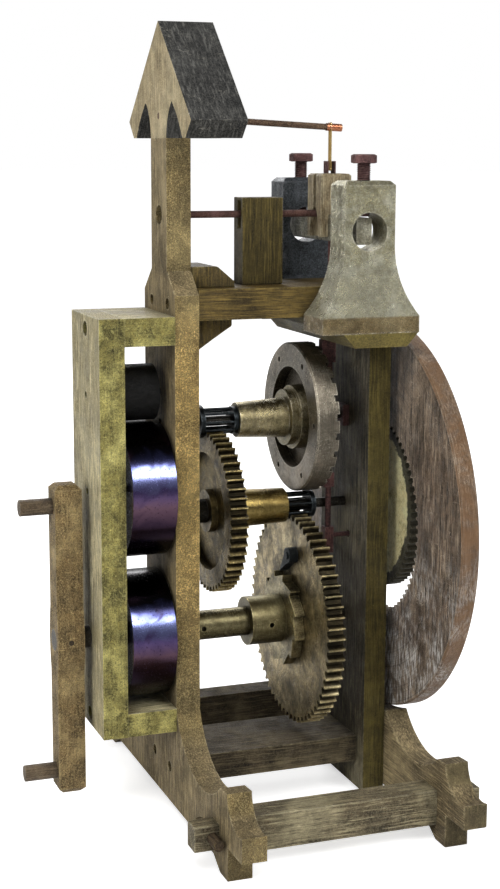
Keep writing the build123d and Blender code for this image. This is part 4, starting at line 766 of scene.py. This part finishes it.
def capital_finish():
    """The near capital: pale above, with a painted highlight where it flares, and brown on its slab."""
    tree, where, join = new_material("near_capital_metal", metallic=0.85, depth=0.5 * MM)
    pale = place(tree, surface_group, Vector=where, **near_paint)
    brown = place(
        tree, surface_group, Vector=where,
        **dict(near_paint, Base=(134, 116, 82), Dark=(58, 48, 30), Light=(176, 160, 122), Scratches=0.4),
    )
    up = height_of(tree, where)
    slab_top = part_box("near_capital")[0].z + CAPITAL_SLAB
    slab = ramp(tree, up, slab_top + 0.6 * MM, slab_top - 1.2 * MM)
    # Painted highlight: the flare, which faces up to the light, is lightened towards pale grey
    flare_highlight = ramp(tree, up, slab_top + 55 * MM, slab_top + 22 * MM, 0.0, 0.3)
    shade = blend_colour(tree, flare_highlight, pale["Color"], (196, 194, 176))
    return join(blend_colour(tree, slab, shade, brown["Color"]), pale["Roughness"], pale["Height"])


finishes["near_capital"] = capital_finish()
finishes["far_capital"] = aged("far_capital_metal", far_paint, metallic=0.65, depth=FINE_RELIEF)

rust = dict(
    Base=(92, 58, 58), Dark=(40, 24, 24), Light=(136, 98, 94), Worn=(158, 126, 118), Stretch=ALL_WAYS,
    Grain=0.2, Patches=0.7, Patch_Size=0.005, Specks=0.8, Speck_Size=0.0009, Scratches=0.1, Edge_Wear=0.6,
    Dirt=0.8, Roughness=0.72,
)
finishes["near_screw"] = aged("screw_rust", rust, metallic=0.25, depth=FINE_RELIEF)
finishes["cross_bar"] = aged(
    "bar_steel", near_paint, metallic=0.7, depth=FINE_RELIEF, Base=(112, 104, 84), Stretch=ALONG_Y,
    Grain=0.5,
)
finishes["rocking_rod"] = aged(
    "rod_rust", rust, metallic=0.4, depth=FINE_RELIEF, Base=(96, 66, 54), Stretch=ALONG_X, Roughness=0.6,
)
finishes["bracket_rod"] = aged(
    "bracket_rust", rust, metallic=0.4, depth=FINE_RELIEF, Base=(84, 60, 46), Light=(150, 124, 96),
    Stretch=ALONG_X, Grain=0.5, Roughness=0.55,
)
maroon = dict(
    rust, Base=(74, 44, 44), Dark=(26, 15, 15), Light=(118, 78, 72), Speck_Size=0.0012, Roughness=0.6,
)
finishes["staff"] = aged(
    "staff_maroon", maroon, metallic=0.3, depth=FINE_RELIEF, Stretch=ALONG_Z, Grain=0.4,
)
copper = dict(
    tarnish, Base=(188, 118, 84), Dark=(104, 58, 38), Light=(222, 164, 128), Worn=(236, 192, 160),
    Roughness=0.35,
)
finishes["rod_sleeve"] = aged("sleeve_copper", copper, metallic=0.95, depth=0.1 * MM)
gold = dict(
    tarnish, Base=(232, 188, 92), Dark=(170, 122, 48), Light=(250, 222, 150), Worn=(255, 236, 180),
    Stretch=ALONG_Z, Patches=0.35, Dirt=0.3, Roughness=0.24, Spread=0.12,
)
finishes["suspension_strip"] = aged("strip_gold", gold, metallic=0.95, depth=0.1 * MM)
# Painted shade: the bolts, and the axles that share their finish, are nearly black, as the shade in the
# bolt holes
finishes["drive_bolts"] = aged(
    "bolt_steel_painted_shade", steel, metallic=0.0, Base=(16, 10, 9), Dark=(6, 4, 4), Light=(34, 24, 20),
    Worn=(44, 32, 26), Roughness=0.6,
)
print("finishes:", len(finishes))

# %% [markdown]
# ## Toothed ring and the gear inside it
# The ring is dark brown with whitish scuffs, most of them low on its face, and its rim is a
# warmer brown. The scuffs are scratches and patches let through by height. The gear inside has
# a worn cream and yellow face with black teeth, so its colour changes with the radius.


# %% Ring and inner gear finishes
def ring_finish():
    """Dark wood-brown, warmer on the rim, scuffed pale towards the floor."""
    tree, where, join = new_material("ring_brown", depth=DEEP_RELIEF)
    body = place(
        tree, surface_group, Vector=where, Base=(122, 101, 82), Dark=(34, 26, 20), Light=(164, 146, 124),
        Worn=(233, 218, 195), Stretch=(900.0, 420.0, 42.0), Grain=0.9, Patches=0.6, Patch_Size=0.06,
        Specks=0.25, Scratches=0.9, Scratch_Length=0.018, Edge_Wear=1.0, Dirt=0.4, Roughness=0.46,
        Spread=0.3, Tone=0.45, Tone_Size=0.03,
    )
    lathe = place(tree, turning_group, Vector=where, Axis=tuple(ring_axis), Pitch=0.0012)
    low = ramp(tree, height_of(tree, where), ring_axis.z + 20 * MM, ring_axis.z - 90 * MM, 0.12, 1.0)
    scuff_patch = ramp(tree, noise(tree, where, 30.0, 6.0, 0.7, 0.6), 0.40, 0.62)
    scuff_line = place(
        tree, grain_group, Vector=where, Stretch=(700.0, 500.0, 90.0), Wander=0.01,
    )["Streaks"]
    scuff_line = ramp(tree, scuff_line, 0.44, 0.60)
    scuff = times(tree, times(tree, scuff_patch, scuff_line), low)
    shade = blend_colour(tree, scuff, body["Color"], (224, 220, 214))
    rim = ramp(tree, lathe["Radius"], 146.5 * MM, 147.8 * MM)
    rim = times(tree, times(tree, rim, 0.7), ramp(tree, scuff_patch, 0.1, 0.9, 1.0, 0.45))
    shade = blend_colour(tree, rim, shade, (138, 103, 70))
    shade = blend_colour(
        tree, times(tree, ramp(tree, lathe["Rings"], 0.5, 0.35), 0.3), shade, (40, 32, 25),
    )
    height = plus(tree, body["Height"], times(tree, lathe["Rings"], 0.35))
    return join(shade, body["Roughness"], height)


def inner_gear_finish():
    """Cream and olive face, darkening to black at the teeth."""
    tree, where, join = new_material("inner_gear_olive", metallic=0.35, depth=0.3 * MM)
    face = place(
        tree, surface_group, Vector=where, Base=(250, 232, 168), Dark=(112, 96, 56),
        Light=(250, 250, 201), Worn=(250, 250, 239), Stretch=ALL_WAYS, Grain=0.3, Patches=0.8,
        Patch_Size=0.014, Specks=0.5, Scratches=0.6, Scratch_Length=0.01, Edge_Wear=0.5, Dirt=0.6,
        Roughness=0.5, Spread=0.25,
    )
    lathe = place(tree, turning_group, Vector=where, Axis=tuple(middle("inner_gear")), Pitch=0.001)
    ragged = times(tree, noise(tree, where, 95.0, 5.0, 0.7), 16 * MM)
    black = ramp(tree, plus(tree, lathe["Radius"], ragged), 65.5 * MM, 67.5 * MM)
    shade = blend_colour(tree, times(tree, black, 0.93), face["Color"], (16, 14, 10))
    return join(shade, face["Roughness"], face["Height"])


finishes["toothed_ring"] = ring_finish()
finishes["inner_gear"] = inner_gear_finish()
print("finishes:", len(finishes))

# %% [markdown]
# ## Spring steel
# The coiled strips were heat-treated, which leaves a purple to blue oxide. The colour drifts
# round the coil and along the strip, and round the coil it also holds painted light: painted
# shade on the underside, a painted highlight band high up and painted shadow, near black, on
# top. The surface is a smooth, slightly smeared mirror that turns every lamp into a bright band.
# On the coil's ends the edges of the turns show as rings.


# %% Spring and roller finishes
# Oxide colours and painted light, from the underside of a coil, near 0, to its top, near 1:
# painted shade below, a painted highlight band at 0.74, painted shadow near black from 0.83 up
OXIDE_AND_PAINTED_LIGHT = (
    (0.22, (56, 42, 58)), (0.42, (100, 76, 90)), (0.60, (84, 72, 116)), (0.74, (132, 142, 196)),
    (0.83, (50, 52, 84)), (0.92, (14, 13, 16)),
)
TURNS_PER_METRE = 900.0


def spring_finish(name, axis):
    """Heat-tinted strip, wound round an axis, with painted highlight and shade round the coil."""
    tree, where, join = new_material(name, metallic=1.0, depth=0.1 * MM)
    lathe = place(tree, turning_group, Vector=where, Axis=tuple(axis), Pitch=0.0009)
    drift = noise(tree, where, 40.0, 3.0, 0.6, 0.8)
    wander = times(tree, minus(tree, drift, 0.5), 0.5)
    climb = plus(tree, calc(tree, "COSINE", lathe["Angle"]), wander)
    # Painted light round the coil: oxide colours with painted shade below, a painted highlight band high
    # up and painted shadow on top
    tint_and_light = put(tree, "ShaderNodeValToRGB", {"Fac": ramp(tree, climb, -1.0, 1.0)})
    bands = tint_and_light.color_ramp.elements
    bands[0].position, bands[0].color = 0.0, colour(24, 19, 28)
    bands[1].position, bands[1].color = 1.0, colour(12, 11, 13)
    for position, shade in OXIDE_AND_PAINTED_LIGHT:
        bands.new(position).color = colour(*shade)
    marks = place(tree, scratch_group, Vector=where, Length=0.02, Amount=0.5)["Lines"]
    smear = ramp(tree, noise(tree, where, 700.0, 2.0), 0.60, 0.72)
    dull = times(tree, ramp(tree, drift, 0.45, 0.7), 0.5)
    shade = blend_colour(tree, dull, tint_and_light.outputs["Color"], (58, 42, 56))
    shade = blend_colour(tree, times(tree, marks, 0.6), shade, (26, 20, 28))
    shade = blend_colour(tree, times(tree, smear, 0.45), shade, (24, 18, 24))
    # Painted shade: where the AO node finds the coil closed in, it goes near black
    corner = place(tree, corner_shading_group, Vector=where, Reach=0.03, Amount=1.0)["Dirt"]
    shade = blend_colour(tree, times(tree, corner, 0.8), shade, (6, 5, 7))
    across_turn = calc(tree, "FRACT", times(tree, lathe["Radius"], TURNS_PER_METRE))
    turns = times(tree, ramp(tree, across_turn, 0.0, 0.35, 1.0, 0.0), share_facing(tree, LEFT, RIGHT))
    shade = blend_colour(tree, times(tree, turns, 0.8), shade, (14, 12, 16))
    rough = plus(tree, 0.2, times(tree, dull, 0.12))
    rough = plus(tree, rough, times(tree, smear, 0.2), clamp=True)
    height = minus(tree, times(tree, lathe["Bands"], 0.25), plus(tree, turns, times(tree, marks, 0.3)))
    return join(shade, rough, height)


finishes["store_spring"] = spring_finish("upper_spring_steel", middle("store_spring"))
finishes["output_spring"] = spring_finish("lower_spring_steel", middle("output_spring"))
# Black rollers and cores: their own black, painted darker still as painted shade
shaded_black_roller = dict(
    Base=(7, 7, 7), Dark=(4, 4, 4), Light=(14, 14, 13), Worn=(26, 26, 24), Stretch=ALONG_X, Grain=0.25,
    Patch_Size=0.01, Specks=0.2, Scratches=0.5, Edge_Wear=0.6, Roughness=0.42,
)
finishes["spool"] = aged("roller_black_shaded", shaded_black_roller, metallic=0.0)
finishes["store_core"] = aged("core_black", shaded_black_roller, metallic=0.0, Roughness=0.55)
print("finishes:", len(finishes))

# %% [markdown]
# ## Pieces that share a finish
# Pieces cut from the same stock, or made in the same batch, wear the same finish. After this
# every node has one.

# %% Shared finishes
ALIKE = {
    "middle_beam": ("rear_beam",),
    "upper_brace": ("lower_brace",),
    "top_spacer": ("low_spacer",),
    "dowels": ("crank_pin",),
    "click": ("click_pin",),
    "near_screw": ("far_screw", "clevis"),
    "drive_bolts": ("spool_axle", "store_axle"),
    "store_core": ("output_core",),
    "staff": ("pallets", "guide_pin", "bearing_block"),
}
for first, others in ALIKE.items():
    for name in others:
        finishes[name] = finishes[first]
print("finishes:", len(finishes), "for", len(nodes), "nodes")

# %% [markdown]
# ## Rounded edges on the CAD pieces
# A real edge is never perfectly sharp. The frame's meshes aren't touched; a Weld modifier joins
# the split corners of the import, a Decimate modifier merges the triangles of each flat face,
# and a Bevel modifier rounds what is sharper than 35 degrees. Weighted normals keep the flat
# faces flat to the eye.

# %% Dress the frame
BOARD_EDGE, METAL_EDGE, FINE_EDGE = 0.9 * MM, 0.35 * MM, 0.12 * MM
WELD_REACH = 0.005 * MM
FLAT_WITHIN, SHARP_FROM = math.radians(0.3), math.radians(35)
boards = (
    "left_frame", "right_post", "right_foot", "crosshead", "top_beam", "front_beam", "middle_beam",
    "rear_beam", "upper_brace", "lower_brace", "guide_block", "roof_head", "drive_plate", "top_spacer",
    "low_spacer", "crank_bar", "near_capital", "far_capital",
)
fine = (
    "great_wheel", "second_wheel", "inner_gear", "toothed_ring", "ratchet_wheel", "suspension_strip",
    "second_pinion", "escape_pinion", "staff", "guide_pin", "click", "clevis", "rod_sleeve",
    "bracket_rod",
)


def dress(name, obj):
    """Gives a node its finish and its rounded edges."""
    obj.data.materials.clear()
    obj.data.materials.append(finishes[name])
    width = BOARD_EDGE if name in boards else FINE_EDGE if name in fine else METAL_EDGE
    weld = obj.modifiers.new("weld", "WELD")
    weld.merge_threshold = WELD_REACH
    flat = obj.modifiers.new("flat", "DECIMATE")
    flat.decimate_type = "DISSOLVE"
    flat.angle_limit = FLAT_WITHIN
    bevel = obj.modifiers.new("edges", "BEVEL")
    bevel.width = width
    bevel.segments = 2
    bevel.limit_method = "ANGLE"
    bevel.angle_limit = SHARP_FROM
    bevel.use_clamp_overlap = True
    normals = obj.modifiers.new("normals", "WEIGHTED_NORMAL")
    normals.keep_sharp = True


for name, obj in nodes.items():
    dress(name, obj)
print("dressed", len(nodes), "nodes")

# %% [markdown]
# ## Screws with real threads
# The CAD screws are plain. A thread is what makes a screw read as one, so each gets a new mesh:
# a ring of points follows the helix, in and out by the depth of the thread, and the head is a
# six-sided drum with its corners turned off.


# %% Threaded screws
SCREW_RADIUS, HEAD_HIGH, HEAD_ACROSS = 5.0 * MM, 6.4 * MM, 16.0 * MM
THREAD_PITCH, THREAD_DEPTH = 1.5 * MM, 0.85 * MM
TIP_SHARE, TIP_LONG = 0.72, 2.5 * MM            # how thin the tip is, and how soon it is full
SHANK_SIDES, ROWS_PER_TURN, HEAD_SIDES = 36, 8, 48
SIXTH = math.pi / 3


def stacked(mesh, rings):
    """Joins rings of points into a closed skin, from the lowest ring to the highest."""
    for lower, upper in zip(rings, rings[1:]):
        for side in range(len(lower)):
            after = (side + 1) % len(lower)
            mesh.faces.new((lower[side], lower[after], upper[after], upper[side]))
    mesh.faces.new(list(reversed(rings[0])))
    mesh.faces.new(rings[-1])


def ring_of_points(mesh, centre, z, sides, reach):
    """A ring of points at a height. Reach gives each one's distance from its side and angle."""
    ring = []
    for side in range(sides):
        angle = 2 * math.pi * side / sides
        here = reach(side, angle)
        ring.append(
            mesh.verts.new((centre.x + here * math.cos(angle), centre.y + here * math.sin(angle), z))
        )
    return ring


def shank(mesh, centre, tip_z, neck_z):
    """The threaded part, from its tip to the neck."""
    rows = int((neck_z - tip_z) / THREAD_PITCH * ROWS_PER_TURN)
    rings = []
    for row in range(rows + 1):
        z = tip_z + (neck_z - tip_z) * row / rows
        taper = min(1.0, TIP_SHARE + (z - tip_z) / TIP_LONG)

        def reach(side, angle):
            phase = ((z - tip_z) / THREAD_PITCH - side / SHANK_SIDES) % 1.0
            crest = 1 - abs(2 * phase - 1)
            return (SCREW_RADIUS - THREAD_DEPTH * (1 - crest)) * taper

        rings.append(ring_of_points(mesh, centre, z, SHANK_SIDES, reach))
    stacked(mesh, rings)


def head(mesh, centre, neck_z, head_z):
    """The six-sided head, with its corners turned off above and below."""
    half = HEAD_ACROSS / 2
    corner = half / math.cos(SIXTH / 2)
    levels = (
        (neck_z, HEAD_ACROSS * 0.47), (neck_z + 0.5 * MM, corner), (head_z - 0.9 * MM, corner),
        (head_z, HEAD_ACROSS * 0.46),
    )
    rings = []
    for z, limit in levels:
        def reach(side, angle):
            return min(limit, half / math.cos((angle + SIXTH / 2) % SIXTH - SIXTH / 2))

        rings.append(ring_of_points(mesh, centre, z, HEAD_SIDES, reach))
    stacked(mesh, rings)


def new_piece(name, mesh):
    """Turns a built mesh into an object in the scene."""
    data = bpy.data.meshes.new(name)
    mesh.to_mesh(data)
    mesh.free()
    made = bpy.data.objects.new(name, data)
    bpy.context.scene.collection.objects.link(made)
    return made


for node in ("near_screw", "far_screw"):
    low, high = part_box(node)
    mesh = bmesh.new()
    shank(mesh, (low + high) / 2, low.z, high.z - HEAD_HIGH)
    head(mesh, (low + high) / 2, high.z - HEAD_HIGH, high.z)
    mesh.normal_update()
    piece = new_piece(f"{node}_threaded", mesh)
    for polygon in piece.data.polygons:
        polygon.use_smooth = True
    piece.data.materials.append(finishes[node])
    edges = piece.modifiers.new("edges", "EDGE_SPLIT")
    edges.split_angle = math.radians(40)
    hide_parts(node)
    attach(piece, node)
    print(piece.name, len(piece.data.polygons), "faces")

# %% [markdown]
# ## Floor
# The floor is a pale disc so wide that its rim meets the white sky. To the camera it glows a
# little, so that it runs into the sky without a line; the pieces don't get that light.


# %% Floor
FLOOR_REACHES = (0.6, 3.0, 12.0, 30.0)          # radii of the floor's rings of points
FLOOR_SIDES = 96
FLOOR_GREY, FLOOR_GLOW = 0.88, 0.62
SKY_ON_PIECES, SKY_IN_VIEW = 0.28, 1.0


def grey(value):
    """A grey shader colour."""
    return (value, value, value, 1.0)


def studio_floor():
    """A wide flat disc. Its rim is so far out that it meets the white sky."""
    mesh = bmesh.new()
    centre = mesh.verts.new((0, 0, 0))
    rings = [
        ring_of_points(mesh, Vector(), 0, FLOOR_SIDES, lambda side, angle: reach)
        for reach in FLOOR_REACHES
    ]
    for s in range(FLOOR_SIDES):
        mesh.faces.new((centre, rings[0][s], rings[0][(s + 1) % FLOOR_SIDES]))
    for inner, outer in zip(rings, rings[1:]):
        for s in range(FLOOR_SIDES):
            after = (s + 1) % FLOOR_SIDES
            mesh.faces.new((inner[s], outer[s], outer[after], inner[after]))
    return new_piece("floor", mesh)


floor = studio_floor()
floor_paint = bpy.data.materials.new("floor_paint")
floor_paint.use_nodes = True
floor_tree = floor_paint.node_tree
floor_shader = floor_tree.nodes["Principled BSDF"]
floor_shader.inputs["Base Color"].default_value = grey(FLOOR_GREY)
floor_shader.inputs["Roughness"].default_value = 0.9
floor_shader.inputs["Specular IOR Level"].default_value = 0.1
seen = put(floor_tree, "ShaderNodeLightPath").outputs["Is Camera Ray"]
glow = blend_colour(floor_tree, seen, grey(0.0), grey(FLOOR_GLOW))
floor_tree.links.new(glow, floor_shader.inputs["Emission Color"])
floor_shader.inputs["Emission Strength"].default_value = 1.0
floor.data.materials.append(floor_paint)
floor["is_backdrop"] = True
print("floor radius in m:", round(max(v.co.x for v in floor.data.vertices), 1))

# %% [markdown]
# ## Lamps and sky
# The camera sees a bright sky, but the pieces are lit by a dimmer one, so that corners stay
# dark, as they do between the black flags of a studio. The arbors lie along X, so a lamp in
# front and a little to the right draws a bright line along every hub and coil. A lamp on the
# left lights the broad faces, one behind draws the far edges, and a wide sun gives the floor
# its soft shadow.


# %% Lamps and sky
def aimed(made, place_at, aim):
    """Puts a lamp in its place, turned to look at a point."""
    made.location = place_at
    made.rotation_euler = (Vector(aim) - Vector(place_at)).to_track_quat("-Z", "Y").to_euler()
    bpy.context.scene.collection.objects.link(made)


def soft_lamp(name, place_at, aim, size, power):
    """A square soft lamp."""
    light = bpy.data.lights.new(name, "AREA")
    light.size = size
    light.energy = power
    aimed(bpy.data.objects.new(name, light), place_at, aim)


LAMPS = (                                      # name, place, width in m, power in W
    ("key", (0.75, -1.9, 1.75), 0.9, 25.0),
    ("left", (-2.0, -1.0, 1.2), 0.9, 22.0),
    ("back", (0.3, 2.0, 1.6), 1.2, 26.0),
)
LAMPS_AIM = (0.0, 0.0, 0.28)
for name, place_at, size, power in LAMPS:
    soft_lamp(name, place_at, LAMPS_AIM, size, power)
sun = bpy.data.lights.new("sun", "SUN")
sun.energy = 0.95
sun.angle = math.radians(30)
aimed(bpy.data.objects.new("sun", sun), (-1.2, -1.4, 3.0), (0.0, 0.0, 0.0))
sky = bpy.data.worlds.new("sky")
bpy.context.scene.world = sky
sky.use_nodes = True
seen = put(sky.node_tree, "ShaderNodeLightPath").outputs["Is Camera Ray"]
brightness = blend_value(sky.node_tree, seen, SKY_ON_PIECES, SKY_IN_VIEW)
sky.node_tree.nodes["Background"].inputs["Color"].default_value = (1.0, 1.0, 1.0, 1.0)
sky.node_tree.links.new(brightness, sky.node_tree.nodes["Background"].inputs["Strength"])
bpy.context.scene.view_settings.view_transform = "Standard"

# %% [markdown]
# ## Camera
# The camera stands high and to the left and looks slightly down. Its axes are worked out from
# its three angles, so that a change of one of them is a change of one number.

# %% Camera
CAMERA_AT = Vector((-0.39911, -1.14816, 0.49285))
YAW, PITCH, ROLL = math.radians(20.19), math.radians(10.23), math.radians(0.21)
view = bpy.data.cameras.new("view")
view.lens = 67.34
view.sensor_width = 36.0
view.clip_start, view.clip_end = 0.05, 60.0
camera = bpy.data.objects.new("view", view)
bpy.context.scene.collection.objects.link(camera)
look = Vector((math.sin(YAW) * math.cos(PITCH), math.cos(YAW) * math.cos(PITCH), -math.sin(PITCH)))
right = Vector((math.cos(YAW), -math.sin(YAW), 0.0))
up = right.cross(look)
right, up = right * math.cos(ROLL) + up * math.sin(ROLL), up * math.cos(ROLL) - right * math.sin(ROLL)
turn = Matrix((right, up, -look)).transposed()
camera.matrix_world = Matrix.Translation(CAMERA_AT) @ turn.to_4x4()
bpy.context.scene.camera = camera
print("camera looks along", [round(v, 3) for v in look])

# %% [markdown]
# ## Size of the finished pieces
# The box round the finished pieces, floor left out, is printed in millimetres. The
# finished pieces may not grow out of the CAD box.

# %% Finish
low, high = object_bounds()
print("visual size in mm:", [round(v / MM, 1) for v in high - low])
